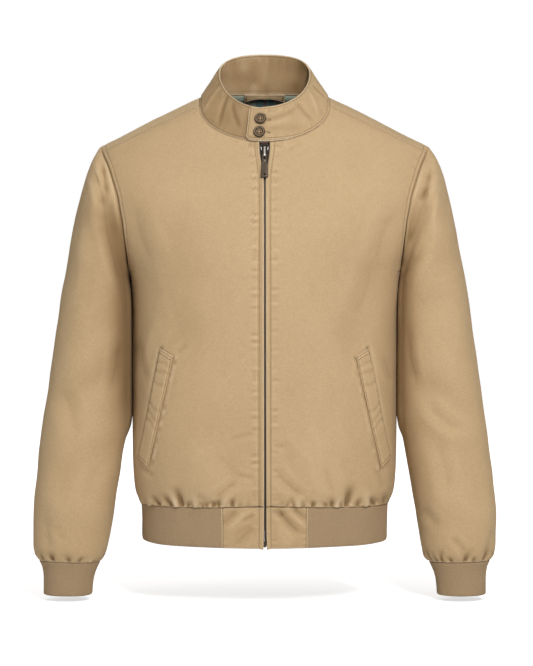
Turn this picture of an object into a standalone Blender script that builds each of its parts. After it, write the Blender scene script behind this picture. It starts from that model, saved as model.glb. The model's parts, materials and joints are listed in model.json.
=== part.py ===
"""A zip-front blouson jacket with a stand collar, rib cuffs and a rib waistband, filled out as worn.

The origin is the middle of the neck, level with the shoulder ridge beside the collar. +Z is up and
the front faces -Y. The wearer's left is at +X. Tables and sizes are in millimetres.

The cloth is one skin. Below the arms a level cut through it is an oval. Above them the skin turns
over a shoulder ridge. A place on it is a turn, the angle round the oval from the middle of the front
or back, with a height. Panels are grids of rows between two edges.
"""

import math

import bmesh
import bpy
import numpy as np
from mathutils import Matrix, Vector

MM = 0.001

# ---------------------------------------------------------------- cloth and seams
SHELL = 1.6  # shell cloth with its turnings
LINING = 1.0
RIB = 2.4
COLLAR_PLY = 1.4
WELT = 1.8
SEAM = 0.4  # the gap where two pieces meet
SEAM_TURN = 0.55  # taken off each panel where the cloth turns at its seam, so its inner faces clear
SQUARE = 2.3  # how square the body's oval is, 2 being an ellipse
FINE = 72  # samples along a row before it is spaced evenly


class Table:
    """Rows of named columns, read at any value of the first column by a smooth curve that never
    overshoots a row."""

    def __init__(self, names, rows):
        self.names = names.split()
        rows = sorted(rows)
        self.places = np.array([row[0] for row in rows], float)
        self.values = np.array([row[1:] for row in rows], float)
        steps = np.diff(self.places)[:, None]
        slopes = np.diff(self.values, axis=0) / steps
        same_way = slopes[:-1] * slopes[1:] > 0
        before, after = np.where(same_way, slopes[:-1], 1.0), np.where(same_way, slopes[1:], 1.0)
        near, far = 2 * steps[1:] + steps[:-1], steps[1:] + 2 * steps[:-1]
        # The weighted harmonic mean of the slopes on either side, and level at a turning point.
        mean = (near + far) / (near / before + far / after)
        self.slopes = np.vstack([slopes[:1], np.where(same_way, mean, 0.0), slopes[-1:]])

    def at(self, where):
        where = min(max(where, self.places[0]), self.places[-1])
        i = int(np.searchsorted(self.places, where, side="right")) - 1
        i = min(max(i, 0), len(self.places) - 2)
        step = self.places[i + 1] - self.places[i]
        t = (where - self.places[i]) / step
        found = (
            self.values[i] * (1 + 2 * t) * (1 - t) ** 2
            + self.slopes[i] * step * t * (1 - t) ** 2
            + self.values[i + 1] * t * t * (3 - 2 * t)
            + self.slopes[i + 1] * step * t * t * (t - 1)
        )
        return dict(zip(self.names[1:], found))


# The body's level ovals. Above z = -246 they are the form that the armholes are cut from.
BODY = Table(
    "z half_width front back",
    [
        (40, 237, 62, 87),
        (-65, 238, 83.5, 107),
        (-110, 236, 103, 116),
        (-150, 229, 118, 122),
        (-180, 220, 126, 125),
        (-210, 207, 132, 127),
        (-240, 194.5, 136, 128),
        (-262, 190, 137.5, 127.5),
        (-300, 188.5, 138.5, 126),
        (-380, 188, 138, 120.5),
        (-450, 187.7, 137, 118),
        (-515, 186.8, 135, 118),
        (-545, 185, 132.5, 116),
        (-560, 182.5, 129.5, 113.5),
        (-570, 178.5, 126, 110.5),
        (-576, 176, 124, 109),
    ],
)
# The waistband's ovals.
BAND = Table(
    "z half_width front back",
    [
        (-570, 176.6, 124.5, 109.5),
        (-582, 174.6, 123.4, 108.4),
        (-600, 174, 123, 108),
        (-618, 174, 123, 108),
        (-628, 173, 122.4, 107.2),
    ],
)
# The shoulder ridge, from the middle of the neck out to the shoulder point, and the height over
# which the cloth rounds over it.
RIDGE = Table(
    "x z y rounding",
    [
        (0, 38, 12, 140),
        (45, 22, 12, 140),
        (91, 0, 12, 138),
        (122, -15.5, 11, 128),
        (156, -32.5, 9, 116),
        (188, -48, 7, 104),
        (210, -58.5, 6, 96),
        (234, -71.5, 6, 90),
    ],
)
# The armhole from the shoulder point down to the underarm: how far each place is below the ridge,
# and its turn, in degrees, on the front and on the back.
ARMHOLE = [
    # drop, front_turn, back_turn
    (0, 77, 77),
    (11, 73.5, 74.5),
    (34, 67, 69),
    (60, 63, 66.5),
    (90, 61, 65),
    (120, 62, 65.5),
    (150, 67, 69),
    (174, 74, 75),
    (190, 82, 82.5),
    (197, 90, 90),
]
UNDERARM_Z = -246

# ---------------------------------------------------------------- neck and front edges
NECK_HALF = 91
NECK_CORNER_Z = -14  # where the forward shoulder seam meets the collar
NECK_FRONT_Z = -65.5
NECK_BACK_Z = 7
FRONT_GAP = Table("z half", [(-65, 7.4), (-72, 7.2), (-88, 5.4), (-102, 3.3), (-116, 2.5), (-630, 2.5)])
HEM_FRONT_Z = -570.5
HEM_SIDE_Z = -575
BAND_FRONT_BOTTOM_Z, BAND_SIDE_BOTTOM_Z = -629.5, -628
HEM_TAB = 60  # from the zip to the rib

# ---------------------------------------------------------------- sleeves and cuffs
# Each ring is given by its outermost and innermost point, seen from the front, by the place of its
# middle from front to back, and by half its depth.
SLEEVE = [
    # outer_x, outer_z, inner_x, inner_z, middle_y, half_depth
    (243, -88, 193.0, -259, 2, 68),
    (252.5, -111, 190.9, -277, 3, 71),
    (264, -153, 189.3, -301, 4, 74),
    (273.5, -196, 188.8, -326, 5, 75.5),
    (282, -239, 188.6, -352, 5, 75.5),
    (289, -281, 188.5, -380, 5, 74.5),
    (297, -338, 188.5, -414, 4, 71.5),
    (305, -395, 189.3, -447, 1, 68),
    (314.5, -463, 197.6, -492, -4.5, 64),
    (323, -535, 208.2, -550, -11, 58.5),
    (327.5, -606, 218.5, -614, -16, 53.5),
    (327.5, -631, 222.5, -636, -17.5, 50.5),
    (325.5, -646, 226, -649, -18, 46.5),
    (320, -655, 232, -657, -18.5, 41),
]
CUFF = [
    # outer_x, outer_z, inner_x, inner_z, middle_y, half_depth
    (319.4, -655.6, 232.6, -657.6, -18.5, 41),
    (315.2, -665, 237, -667, -18.8, 38),
    (313.4, -678, 241.2, -679, -19.4, 36.2),
    (313.2, -691, 243, -691.5, -20, 35.4),
    (313.4, -703.6, 243.8, -704, -20.5, 35),
]
SLEEVE_SQUARE = 2.15
# The sleeves' largest folds, all as on the left sleeve. They go right through, front and back.
SLEEVE_LEFT_FOLDS = [
    # x, z, end_x, end_z, half_width, height
    (219, -403, 292, -448, 22, -4.5),
    (214, -470, 300, -505, 22, -3.5),
    (238, -560, 318, -590, 22, 3.5),
    (222, -300, 262, -212, 26, -3.5),
]
SLEEVE_RIGHT_FOLDS = [
    (219, -383, 286, -430, 22, -4),
    (216, -498, 304, -534, 24, -4),
    (230, -592, 300, -570, 22, 3),
    (224, -318, 266, -240, 26, -3),
]

# ---------------------------------------------------------------- collar
COLLAR_TOP_HALF = 64.6
COLLAR_TOP_SIDE_Y, COLLAR_TOP_SIDE_Z = 30, 38.5
COLLAR_TOP_FRONT_Y, COLLAR_TOP_FRONT_Z = -62, -15.5
COLLAR_TOP_BACK_Y, COLLAR_TOP_BACK_Z = 65, 63.5
COLLAR_BOW = 1.4  # how far the collar's middle swells
COLLAR_UNDER_END = -0.07  # in half turns of the neck, from the zip, counted towards the right
COLLAR_TAB_END = 2.092
COLLAR_LAP_STARTS, COLLAR_LAP_FULL = 1.62, 1.88
COLLAR_LAP = 2 * COLLAR_PLY + 3 * SEAM
COLLAR_UPS = (0.0, 0.25, 0.5, 0.75, 1.0)

# ---------------------------------------------------------------- pockets, loop, buttons
WELT_TOP = ((125.5, -364), (143.5, -353))  # inner and outer corner, as x and z
WELT_BOTTOM = ((162, -522.5), (176, -508.5))
WELT_STANDS = WELT + 1
BUTTON_RADIUS, BUTTON_THICK = 8.2, 2.8
BUTTON_RIM, BUTTON_DISH = 1.7, 0.8
BUTTON_HOLE, BUTTON_HOLE_PITCH = 0.85, 2.9
BUTTON_STANDS = 0.8  # off the tab's face
BUTTONS = {"button_upper": (2.0215, 0.61), "button_lower": (2.026, 0.22)}  # place round and up the collar
LOOP_HALF, LOOP_WIDE, LOOP_THICK, LOOP_TOP_Z = 29, 8.5, 1.5, 3.6
LOOP_DROP = 2.5  # how much lower its ends are than its middle
LOOP_DEEP = 6.4  # from the back's outer face, through shell and lining
LOOP_STANDS_OFF = 3

# ---------------------------------------------------------------- zip
TAPE_DEPTH, TAPE_THICK, TAPE_INNER, TAPE_OUTER = 2.4, 0.8, 2.5, 15.5
CHAIN_DEPTH, CHAIN_THICK, CHAIN_INNER, CHAIN_OUTER = 0.8, 2.0, 0.15, 2.1
ZIP_TOP_Z, ZIP_BOTTOM_Z = -67, -626.5
CHAIN_TOP_Z, CHAIN_BOTTOM_Z = -70.8, -618.5
CHAIN_SPREAD = 2.4  # how far the two halves part inside the slider
SLIDER_Z, SLIDER_LONG = -80, 21
SLIDER_HALF_TOP, SLIDER_HALF_BOTTOM = 6.2, 4.7
SLIDER_FRONT, SLIDER_FRONT_THICK = 0.9, 1.6  # height of the plate's face above the cloth
SLIDER_BACK, SLIDER_BACK_THICK = -3.5, 1.4
POST_HALF, POST_LONG = 1.5, 6
BRIDGE_ROD, BRIDGE_CLEAR, BRIDGE_LONG, BRIDGE_FOOT = 0.75, 2.3, 15, 1.4
PIN_RADIUS = 0.7  # the pull's bar, which turns under the bridge
PIN_OUT = SLIDER_FRONT + 0.4 + PIN_RADIUS  # its middle above the cloth's face
PIN_UP = BRIDGE_FOOT + BRIDGE_ROD + SEAM + PIN_RADIUS - SLIDER_LONG / 2  # and along the slider
STOP_X, STOP_HALF, STOP_LONG, STOP_THICK, STOP_Z = 5.4, 1.2, 2.2, 1.3, -68.4
BOX_HALF, BOX_LONG, BOX_THICK, BOX_DEEP = 2.1, 8.5, 2.6, 2.0
PULL_LONG, PULL_THICK = 34, 1.4
PULL_HALF_TOP, PULL_HALF_BOTTOM = 4.1, 5.2
PULL_SLOT_HALF, PULL_SLOT_LONG = 1.6, 6.2
PULL_HOLE, PULL_HOLE_UP = 1.5, 4.2
PULL_TILT = 1.2  # degrees towards the cloth, where its tip lies


# ================================================================ the skin
def between(a, b, t):
    return a + (b - a) * t


def ring_turn(x, half_width):
    """The turn at which an oval reaches this x."""
    return math.asin(min(1.0, (abs(x) / half_width) ** (SQUARE / 2)))


def oval(turn, half_width, depth):
    """The x and the depth of an oval at a turn."""
    return (
        half_width * math.sin(turn) ** (2 / SQUARE),
        depth * max(0.0, math.cos(turn)) ** (2 / SQUARE),
    )


def skin(turn, z, face):
    """The point at a turn and a height, on the front (face -1) or the back (face 1)."""
    ring = BODY.at(z)
    x, depth = oval(turn, ring["half_width"], ring["back"] if face > 0 else -ring["front"])
    ridge = RIDGE.at(x)
    share = min(1.0, max(0.0, ridge["z"] - z) / ridge["rounding"])
    rounded = math.sqrt(1 - (1 - share) ** 2)
    return Vector((x, between(ridge["y"], depth, rounded), z))


def place_of(x, z):
    """The turn and the height of the skin's point at an x and a height."""
    return ring_turn(x, BODY.at(z)["half_width"]), z


def shares_of(points):
    """How far along the line each of its points is, from 0 to 1, and the line's length."""
    line = np.array([tuple(p) for p in points])
    run = np.concatenate([[0], np.cumsum(np.linalg.norm(np.diff(line, axis=0), axis=1))])
    return run / run[-1], run[-1]


def placed(points, shares):
    """Points on a line at these shares of its length."""
    line = np.array([tuple(p) for p in points])
    run, _ = shares_of(points)
    return [Vector([float(np.interp(w, run, line[:, i])) for i in range(3)]) for w in shares]


def spaced(points, steps):
    """The points moved to even steps along their own line."""
    return placed(points, np.linspace(0, 1, steps + 1))


def row_across(inner, outer, face, steps):
    """A row between two places of the skin, straight as seen from the front."""
    inner_x, outer_x = (oval(turn, BODY.at(z)["half_width"], 0)[0] for turn, z in (inner, outer))
    points = []
    for t in np.linspace(0, 1, FINE):
        turn, z = between(inner[0], outer[0], t), between(inner[1], outer[1], t)
        for _ in range(6):
            x = oval(turn, BODY.at(z)["half_width"], 0)[0]
            z = between(inner[1], outer[1], (x - inner_x) / (outer_x - inner_x))
        points.append(skin(turn, min(z, RIDGE.at(x)["z"]), face))
    return spaced(points, steps)


def armhole_table(face):
    """Turn and drop along the armhole, from 0 at the shoulder point to 1 at the underarm."""
    last = len(ARMHOLE) - 1
    rows = [(i / last, math.radians(row[1 if face < 0 else 2]), row[0]) for i, row in enumerate(ARMHOLE)]
    return Table("along turn drop", rows)


ARMHOLES = {face: armhole_table(face) for face in (-1, 1)}


def armhole_place(face, along):
    found = ARMHOLES[face].at(along)
    x = RIDGE.places[-1]
    for _ in range(12):
        z = RIDGE.at(x)["z"] - found["drop"]
        x = oval(found["turn"], BODY.at(z)["half_width"], 0)[0]
    return found["turn"], z


# ================================================================ neckline
def neck_front_place(angle):
    """On the front neckline: 0 is the middle, and pi / 2 is where the shoulder seam meets it."""
    return place_of(
        NECK_HALF * math.sin(angle), between(NECK_CORNER_Z, NECK_FRONT_Z, math.cos(angle))
    )


def neck_back_place(angle):
    """On the back neckline: 0 is the shoulder ridge, and pi / 2 is the middle of the back."""
    return place_of(NECK_HALF * math.cos(angle), NECK_BACK_Z * math.sin(angle) ** 2)


def neckline_half():
    """The collar seam from the middle of the front to the middle of the back, at +X, as stretches
    that end where a panel has a point."""
    edge = math.asin(FRONT_GAP.at(NECK_FRONT_Z)["half"] / NECK_HALF)
    front = [0.0] + list(np.linspace(edge, math.pi / 2, FRONT_NECK_ROWS + 1))
    back = np.linspace(0, math.pi / 2, BACK_NECK_ROWS + 1)
    within = np.linspace(0, 1, 13)
    stretches = []
    for a, b in zip(front, front[1:]):
        stretches.append([skin(*neck_front_place(between(a, b, t)), -1) for t in within])
    corner, ridge = neck_front_place(math.pi / 2), neck_back_place(0)
    stretches.append(
        [skin(between(corner[0], ridge[0], t), between(corner[1], ridge[1], t), -1) for t in within]
    )
    for a, b in zip(back, back[1:]):
        stretches.append([skin(*neck_back_place(between(a, b, t)), 1) for t in within])
    return stretches


# ================================================================ making objects
def material(name, colour, roughness, metallic=0.0):
    found = bpy.data.materials.get(name)
    if found:
        return found
    made = bpy.data.materials.new(name)
    made.use_nodes = True
    shader = made.node_tree.nodes["Principled BSDF"]
    shader.inputs["Base Color"].default_value = (*colour, 1)
    shader.inputs["Roughness"].default_value = roughness
    shader.inputs["Metallic"].default_value = metallic
    return made


def shell_cloth():
    return material("shell_cloth", (0.50, 0.37, 0.22), 0.85)


def rib_knit():
    return material("rib_knit", (0.38, 0.27, 0.16), 0.9)


def lining_cloth():
    return material("lining_cloth", (0.12, 0.22, 0.20), 0.8)


def zip_tape_cloth():
    return material("zip_tape", (0.12, 0.08, 0.05), 0.85)


def zip_metal():
    return material("zip_metal", (0.16, 0.13, 0.10), 0.35, 1.0)


def button_horn():
    return material("button", (0.24, 0.16, 0.09), 0.4)


def add(name, mesh, finish, collection="harrington_jacket"):
    home = bpy.data.collections.get(collection)
    if home is None:
        home = bpy.data.collections.new(collection)
        bpy.context.scene.collection.children.link(home)
    made = bpy.data.objects.new(name, mesh)
    home.objects.link(made)
    if finish:
        mesh.materials.append(finish)
    return made


def add_net(made, rows, closed, flip):
    """The grid's faces, each four corners split across their shorter diagonal."""
    grid = [[made.verts.new(p * MM) for p in row] for row in rows]
    wide = len(rows[0])
    for low, high in zip(grid, grid[1:]):
        for i in range(wide if closed else wide - 1):
            j = (i + 1) % wide
            a, b, c, d = low[i], low[j], high[j], high[i]
            if (a.co - c.co).length > (b.co - d.co).length:
                a, b, c, d = b, c, d, a
            for face in ((a, b, c), (a, c, d)):
                made.faces.new(face[::-1] if flip else face)


def sheet(name, rows, finish, thick, closed=False, flip=False, inset=0.0, other_half=None):
    """A cloth piece: a grid of rows in millimetres, moved in by inset and thickened inwards.
    Closed rows join their last point to their first. Flip turns the faces over. Another half, at
    the other side of the middle plane, is sewn on wherever its points meet the first one's."""
    made = bmesh.new()
    add_net(made, rows, closed, flip)
    if other_half:
        add_net(made, other_half, closed, not flip)
        bmesh.ops.remove_doubles(made, verts=made.verts, dist=0.001 * MM)
    if inset:
        made.normal_update()
        moved = [v.co - v.normal * (inset * MM) for v in made.verts]
        for v, place in zip(made.verts, moved):
            v.co = place
    mesh = bpy.data.meshes.new(name)
    made.to_mesh(mesh)
    made.free()
    piece = add(name, mesh, finish)
    wall = piece.modifiers.new("Solidify", "SOLIDIFY")
    wall.thickness = thick * MM
    wall.offset = -1
    mesh.shade_smooth()
    return piece


def mirrored(rows):
    return [[Vector((-p.x, p.y, p.z)) for p in row] for row in rows]


def trimmed(rows, first=0.0, last=0.0, start=0.0, end=0.0):
    """The rows with seam gaps taken off: first and last cut whole rows back along their columns,
    start and end cut each row's two ends. All are in millimetres."""
    rows = [list(row) for row in rows]
    for i in range(len(rows[0])):
        if first:
            step = rows[1][i] - rows[0][i]
            rows[0][i] = rows[0][i] + step.normalized() * first
        if last:
            step = rows[-2][i] - rows[-1][i]
            rows[-1][i] = rows[-1][i] + step.normalized() * last
    for row in rows:
        if start:
            row[0] = row[0] + (row[1] - row[0]).normalized() * start
        if end:
            row[-1] = row[-1] + (row[-2] - row[-1]).normalized() * end
    return rows


# ================================================================ body panels
# Heights of the rows below the underarm, at the middle of the front or back and at the side seam.
LOW_ROWS = [
    # middle_z, side_z
    (HEM_FRONT_Z, HEM_SIDE_Z),
    (-559, -563),
    (-541, -544),
    (-508, -510),
    (-460, -461),
    (-408, -408),
    (-350, -350),
    (-295, -295),
    (-246, UNDERARM_Z),
]
BODY_STEPS = 9  # columns of a front or of half a back
CHEST_ROWS = 4  # of a front, from the underarm up to the neckline's lowest point
BACK_CHEST = (-180, -122, -72, -30, NECK_BACK_Z)  # heights of the back's, at its middle
FRONT_NECK_ROWS, BACK_NECK_ROWS = 6, 5
FRONT_SPLIT, BACK_SPLIT = 0.46, 0.42  # where on the armhole the neckline's lowest row ends
SHOULDER_SPLIT = 1 / (len(ARMHOLE) - 1)  # where the shoulder seam meets the armhole

# The largest folds. Each runs from one place to another, given as on the left, and rises or sinks
# most along its middle.
FRONT_LEFT_FOLDS = [
    # x, z, end_x, end_z, half_width, height
    (160, -250, 112, -350, 28, -4.5),
    (183, -300, 184, -470, 22, -3.5),
    (70, -470, 84, -556, 26, 3.5),
    (118, -190, 84, -290, 30, -2.5),
]
FRONT_RIGHT_FOLDS = [
    (150, -258, 104, -340, 28, -4),
    (183, -290, 184, -450, 22, -4),
    (96, -488, 78, -560, 28, 3),
    (124, -176, 92, -262, 30, -2.5),
]
BACK_LEFT_FOLDS = [
    (128, -170, 80, -330, 32, 4.5),
    (158, -300, 150, -430, 26, 3),
    (40, -440, 52, -556, 30, 3.5),
]
BACK_RIGHT_FOLDS = [
    (118, -186, 84, -310, 30, 4),
    (160, -330, 156, -460, 26, 3.5),
    (78, -455, 66, -552, 30, 3),
]


def front_inner(z):
    """The turn of the front edge beside the zip."""
    return ring_turn(FRONT_GAP.at(z)["half"], BODY.at(z)["half_width"])


def front_rows():
    """The left front, from the waist seam up to the forward shoulder seam."""
    ends = [((front_inner(middle_z), middle_z), (math.pi / 2, side_z)) for middle_z, side_z in LOW_ROWS]
    for t in np.linspace(0, 1, CHEST_ROWS + 1)[1:]:
        z = between(LOW_ROWS[-1][0], NECK_FRONT_Z, t)
        ends.append(((front_inner(z), z), armhole_place(-1, between(1, FRONT_SPLIT, t))))
    edge = math.asin(FRONT_GAP.at(NECK_FRONT_Z)["half"] / NECK_HALF)
    for t in np.linspace(0, 1, FRONT_NECK_ROWS + 1)[1:]:
        outer = armhole_place(-1, between(FRONT_SPLIT, SHOULDER_SPLIT, t))
        ends.append((neck_front_place(between(edge, math.pi / 2, t)), outer))
    return [row_across(inner, outer, -1, BODY_STEPS) for inner, outer in ends]


def back_rows():
    """The left half of the back, from the waist seam up over the ridge to the shoulder seam."""
    ends = [((0, middle_z), (math.pi / 2, side_z)) for middle_z, side_z in LOW_ROWS]
    for i, z in enumerate(BACK_CHEST):
        along = between(1, BACK_SPLIT, (i + 1) / len(BACK_CHEST))
        ends.append(((0, z), armhole_place(1, along)))
    for t in np.linspace(0, 1, BACK_NECK_ROWS + 1)[1:]:
        inner = neck_back_place(between(math.pi / 2, 0, t))
        ends.append((inner, armhole_place(1, between(BACK_SPLIT, 0, t))))
    rows = [row_across(inner, outer, 1, BODY_STEPS) for inner, outer in ends]
    seam = neck_front_place(math.pi / 2), armhole_place(-1, SHOULDER_SPLIT)
    return rows + [row_across(*seam, -1, BODY_STEPS)]


def folded(rows, folds, closed=False, outwards=1):
    """The rows with folds raised or sunk along their surface's normals, and their edges kept."""
    last, wide = len(rows) - 1, len(rows[0])
    made = [list(row) for row in rows]
    for i in range(1, last):
        for j in range(wide):
            if not closed and j in (0, wide - 1):
                continue
            up = rows[i + 1][j] - rows[i - 1][j]
            along = rows[i][(j + 1) % wide] - rows[i][j - 1]
            out = along.cross(up).normalized() * outwards
            made[i][j] = rows[i][j] + out * fold_height(rows[i][j], folds)
    return made


def fold_height(p, folds):
    height = 0.0
    for x, z, end_x, end_z, half_width, most in folds:
        run_x, run_z = end_x - x, end_z - z
        t = ((p.x - x) * run_x + (p.z - z) * run_z) / (run_x**2 + run_z**2)
        aside = math.hypot(p.x - x - run_x * t, p.z - z - run_z * t) / half_width
        beyond = max(0.0, abs(t - 0.5) - 0.3) / 0.35
        height += most * math.exp(-(aside**2) - beyond**2)
    return height


FRONTS = {
    "left": folded(front_rows(), FRONT_LEFT_FOLDS),
    "right": mirrored(folded(front_rows(), FRONT_RIGHT_FOLDS)),
}
BACK = back_rows()


def make_fronts():
    for name, rows in FRONTS.items():
        rows = trimmed(rows, last=SEAM_TURN, end=SEAM_TURN)
        sheet(f"front_{name}", rows, shell_cloth(), SHELL, flip=name == "right")


def make_back():
    halves = []
    for folds in (BACK_LEFT_FOLDS, BACK_RIGHT_FOLDS):
        halves.append(trimmed(folded(BACK, folds, outwards=-1), last=SEAM_TURN, end=SEAM_TURN))
    left, right = halves[0], mirrored(halves[1])
    sheet("back", left, shell_cloth(), SHELL, flip=True, other_half=right)


def make_back_lining():
    """The lining of the back, which shows through the neck. It hangs clear of the outer folds, with
    every other column of the back's points."""
    kept_rows = BACK[0:5:2] + BACK[5:-1]
    kept = list(range(0, BODY_STEPS - 1, 2)) + [BODY_STEPS]
    rows = [[row[j] for j in kept] for row in kept_rows]
    rows = trimmed(rows, first=5, last=3, end=9)
    sheet(
        "lining_back", rows, lining_cloth(), LINING, flip=True, inset=SHELL + 2 * SEAM,
        other_half=mirrored(rows),
    )


# ================================================================ waistband
def band_rows(start, end, face, steps):
    """Rows of the waistband between two turns on one face, top to bottom."""
    middle_z = BAND_FRONT_BOTTOM_Z if face < 0 else BAND_SIDE_BOTTOM_Z
    rows = []
    for share in BAND_SHARES:
        row = []
        for turn in np.linspace(start, end, FINE):
            aside = math.sin(turn) ** (2 / SQUARE)
            top = between(HEM_FRONT_Z, HEM_SIDE_Z, aside) - SEAM
            z = between(top, between(middle_z, BAND_SIDE_BOTTOM_Z, aside), share)
            ring = BAND.at(z)
            x, depth = oval(turn, ring["half_width"], ring["back"] if face > 0 else -ring["front"])
            row.append(Vector((x, depth, z)))
        rows.append(spaced(row, steps))
    return rows


def make_hem_tabs():
    """The cloth ends of the waistband, beside the zip."""
    rows = trimmed(HEM_TAB_ROWS, end=SEAM / 2)
    sheet("hem_tab_left", rows, shell_cloth(), SHELL, flip=True)
    sheet("hem_tab_right", mirrored(rows), shell_cloth(), SHELL)


def make_hem_rib():
    """The rib, from one cloth end round the back to the other."""
    front = band_rows(HEM_TAB_TURN, math.pi / 2, -1, RIB_FRONT_STEPS)
    back = band_rows(math.pi / 2, 0, 1, RIB_BACK_STEPS)
    rows = trimmed([a + b[1:] for a, b in zip(front, back)], start=SEAM / 2)
    sheet("hem_rib", rows, rib_knit(), RIB, flip=True, other_half=mirrored(rows))


BAND_SHARES = (0.0, 0.22, 0.6, 1.0)  # heights of its rows, from the seam down
TAB_STEPS, RIB_FRONT_STEPS, RIB_BACK_STEPS = 3, 7, 10
HEM_TAB_TURN = ring_turn(HEM_TAB, BAND.at(HEM_SIDE_Z)["half_width"])
HEM_TAB_ROWS = band_rows(front_inner(HEM_FRONT_Z), HEM_TAB_TURN, -1, TAB_STEPS)


# ================================================================ sleeves and cuffs
def ring_points(row, front_shares, back_shares):
    """A sleeve ring, from its outermost point round the front, the inside and the back."""
    outer_x, outer_z, inner_x, inner_z, middle_y, half_depth = row
    outer, inner = Vector((outer_x, middle_y, outer_z)), Vector((inner_x, middle_y, inner_z))
    middle, reach = (outer + inner) / 2, (outer - inner) / 2
    halves = []
    for side in (-1, 1):
        half = []
        for a in np.linspace(0, math.pi, FINE):
            across = math.copysign(abs(math.cos(a)) ** (2 / SLEEVE_SQUARE), math.cos(a))
            deep = math.sin(a) ** (2 / SLEEVE_SQUARE) if 0 < a < math.pi else 0.0
            half.append(middle + reach * across + Vector((0, side * half_depth * deep, 0)))
        halves.append(half)
    return placed(halves[0], front_shares) + placed(halves[1], back_shares)[-2:0:-1]


def armhole_halves():
    """The panels' own points round the armhole, down the front and down the back."""
    front, under = FRONTS["left"], len(LOW_ROWS) - 1
    ahead = [BACK[-2][-1], BACK[-1][-1]] + [row[-1] for row in front[-2 : under - 1 : -1]]
    behind = [row[-1] for row in BACK[-2 : under - 1 : -1]]
    return ahead, behind


def make_sleeve_and_cuff(side, name, folds):
    """The points start spaced as they are on the armhole, and are even from the sixth ring on."""
    ahead, behind = armhole_halves()
    stand_off = Vector((0.94, 0, -0.34)) * SEAM
    rings = [[p + stand_off for p in ahead + behind[-2:0:-1]]]
    shares = [shares_of(half)[0] for half in (ahead, behind)]
    even = [np.linspace(0, 1, len(half)) for half in (ahead, behind)]
    for i, row in enumerate(SLEEVE):
        t = min(1.0, i / 5)
        rings.append(ring_points(row, *(between(a, b, t) for a, b in zip(shares, even))))
    rings = folded(rings, folds, closed=True)
    cuff = [ring_points(row, *even) for row in CUFF]
    if side < 0:
        rings, cuff = mirrored(rings), mirrored(cuff)
    sheet(f"sleeve_{name}", rings, shell_cloth(), SHELL, closed=True, flip=side < 0)
    sheet(f"cuff_{name}", cuff, rib_knit(), RIB, closed=True, flip=side < 0)


# ================================================================ collar
def collar_top_half():
    """The collar's top edge from the middle of the front to the middle of the back, at +X."""
    points = []
    for a in np.linspace(0, math.pi, 2 * FINE):
        ahead = math.cos(a) > 0
        reach = (
            (COLLAR_TOP_FRONT_Y - COLLAR_TOP_SIDE_Y, COLLAR_TOP_FRONT_Z - COLLAR_TOP_SIDE_Z)
            if ahead
            else (COLLAR_TOP_BACK_Y - COLLAR_TOP_SIDE_Y, COLLAR_TOP_BACK_Z - COLLAR_TOP_SIDE_Z)
        )
        share = abs(math.cos(a)) ** (1.0 if ahead else 0.82)
        x = COLLAR_TOP_HALF * math.sin(a) ** (1.0 if ahead else 0.9) if 0 < a < math.pi else 0
        points.append(Vector((x, COLLAR_TOP_SIDE_Y + reach[0] * share, COLLAR_TOP_SIDE_Z + reach[1] * share)))
    return points


def looped(half):
    """A function of a place in half turns: 0 the front, 1 the back, 2 the front again, by way of -X."""
    steps = 4 * FINE
    line = spaced(half, steps)

    def find(place):
        place = place % 2
        at = (place if place <= 1 else 2 - place) * steps
        i = min(int(at), steps - 1)
        p = line[i].lerp(line[i + 1], at - i)
        return Vector((-p.x, p.y, p.z)) if place <= 1 else p

    return find


NECK_STRETCHES = neckline_half()
NECK_SEAM = looped([p for stretch in NECK_STRETCHES for p in stretch])
COLLAR_EDGE = looped(collar_top_half())


def collar_at(place, up):
    """A point of the collar's outer face: place round it, and up from 0 at the seam to 1."""
    lap = min(1.0, max(0.0, (place - COLLAR_LAP_STARTS) / (COLLAR_LAP_FULL - COLLAR_LAP_STARTS)))
    lap = lap * lap * (3 - 2 * lap) * COLLAR_LAP
    return collar_line(place, up) + collar_out(place, up) * (COLLAR_BOW * 4 * up * (1 - up) + lap)


def collar_out(place, up=0.5):
    """Straight out of the collar's face."""
    along = collar_line(place + 0.01, up) - collar_line(place - 0.01, up)
    return (COLLAR_EDGE(place) - NECK_SEAM(place)).cross(along).normalized()


def collar_line(place, up):
    return NECK_SEAM(place).lerp(COLLAR_EDGE(place), up)


def collar_places():
    """The collar's columns: one wherever a body panel has a point on the neckline."""
    lengths = np.cumsum([shares_of(stretch)[1] for stretch in NECK_STRETCHES])
    knots = lengths / lengths[-1]
    half = list(knots[:-1])
    round_it = half + [1.0] + [2 - knot for knot in half[::-1]]
    return [COLLAR_UNDER_END, -half[0]] + round_it + [2 + half[0], COLLAR_TAB_END]


def make_collar():
    """Two plies, lapped at the front: the left end runs over the right as a buttoned tab."""
    places = collar_places()
    rows = [[collar_at(place, up) for place in places] for up in COLLAR_UPS]
    rows = trimmed(rows, first=SEAM)
    sheet("collar_outer", rows, shell_cloth(), COLLAR_PLY, flip=True)
    rows = trimmed(rows, first=0.3, last=0.8, start=0.8, end=0.8)
    sheet("collar_inner", rows, shell_cloth(), COLLAR_PLY, flip=True, inset=COLLAR_PLY + SEAM - 0.1)


# ================================================================ welts and loop
def on_panel(rows, x, z):
    """The point at an x and a height on the facets of a panel at +X."""
    level = []
    for column in zip(*rows):
        low, high = next(((a, b) for a, b in zip(column, column[1:]) if b.z > z), (None, None))
        if high:
            level.append(low.lerp(high, (z - low.z) / (high.z - low.z)))
    j = next(j for j in range(len(level) - 1) if level[j + 1].x > x)
    return level[j].lerp(level[j + 1], (x - level[j].x) / (level[j + 1].x - level[j].x))


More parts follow.
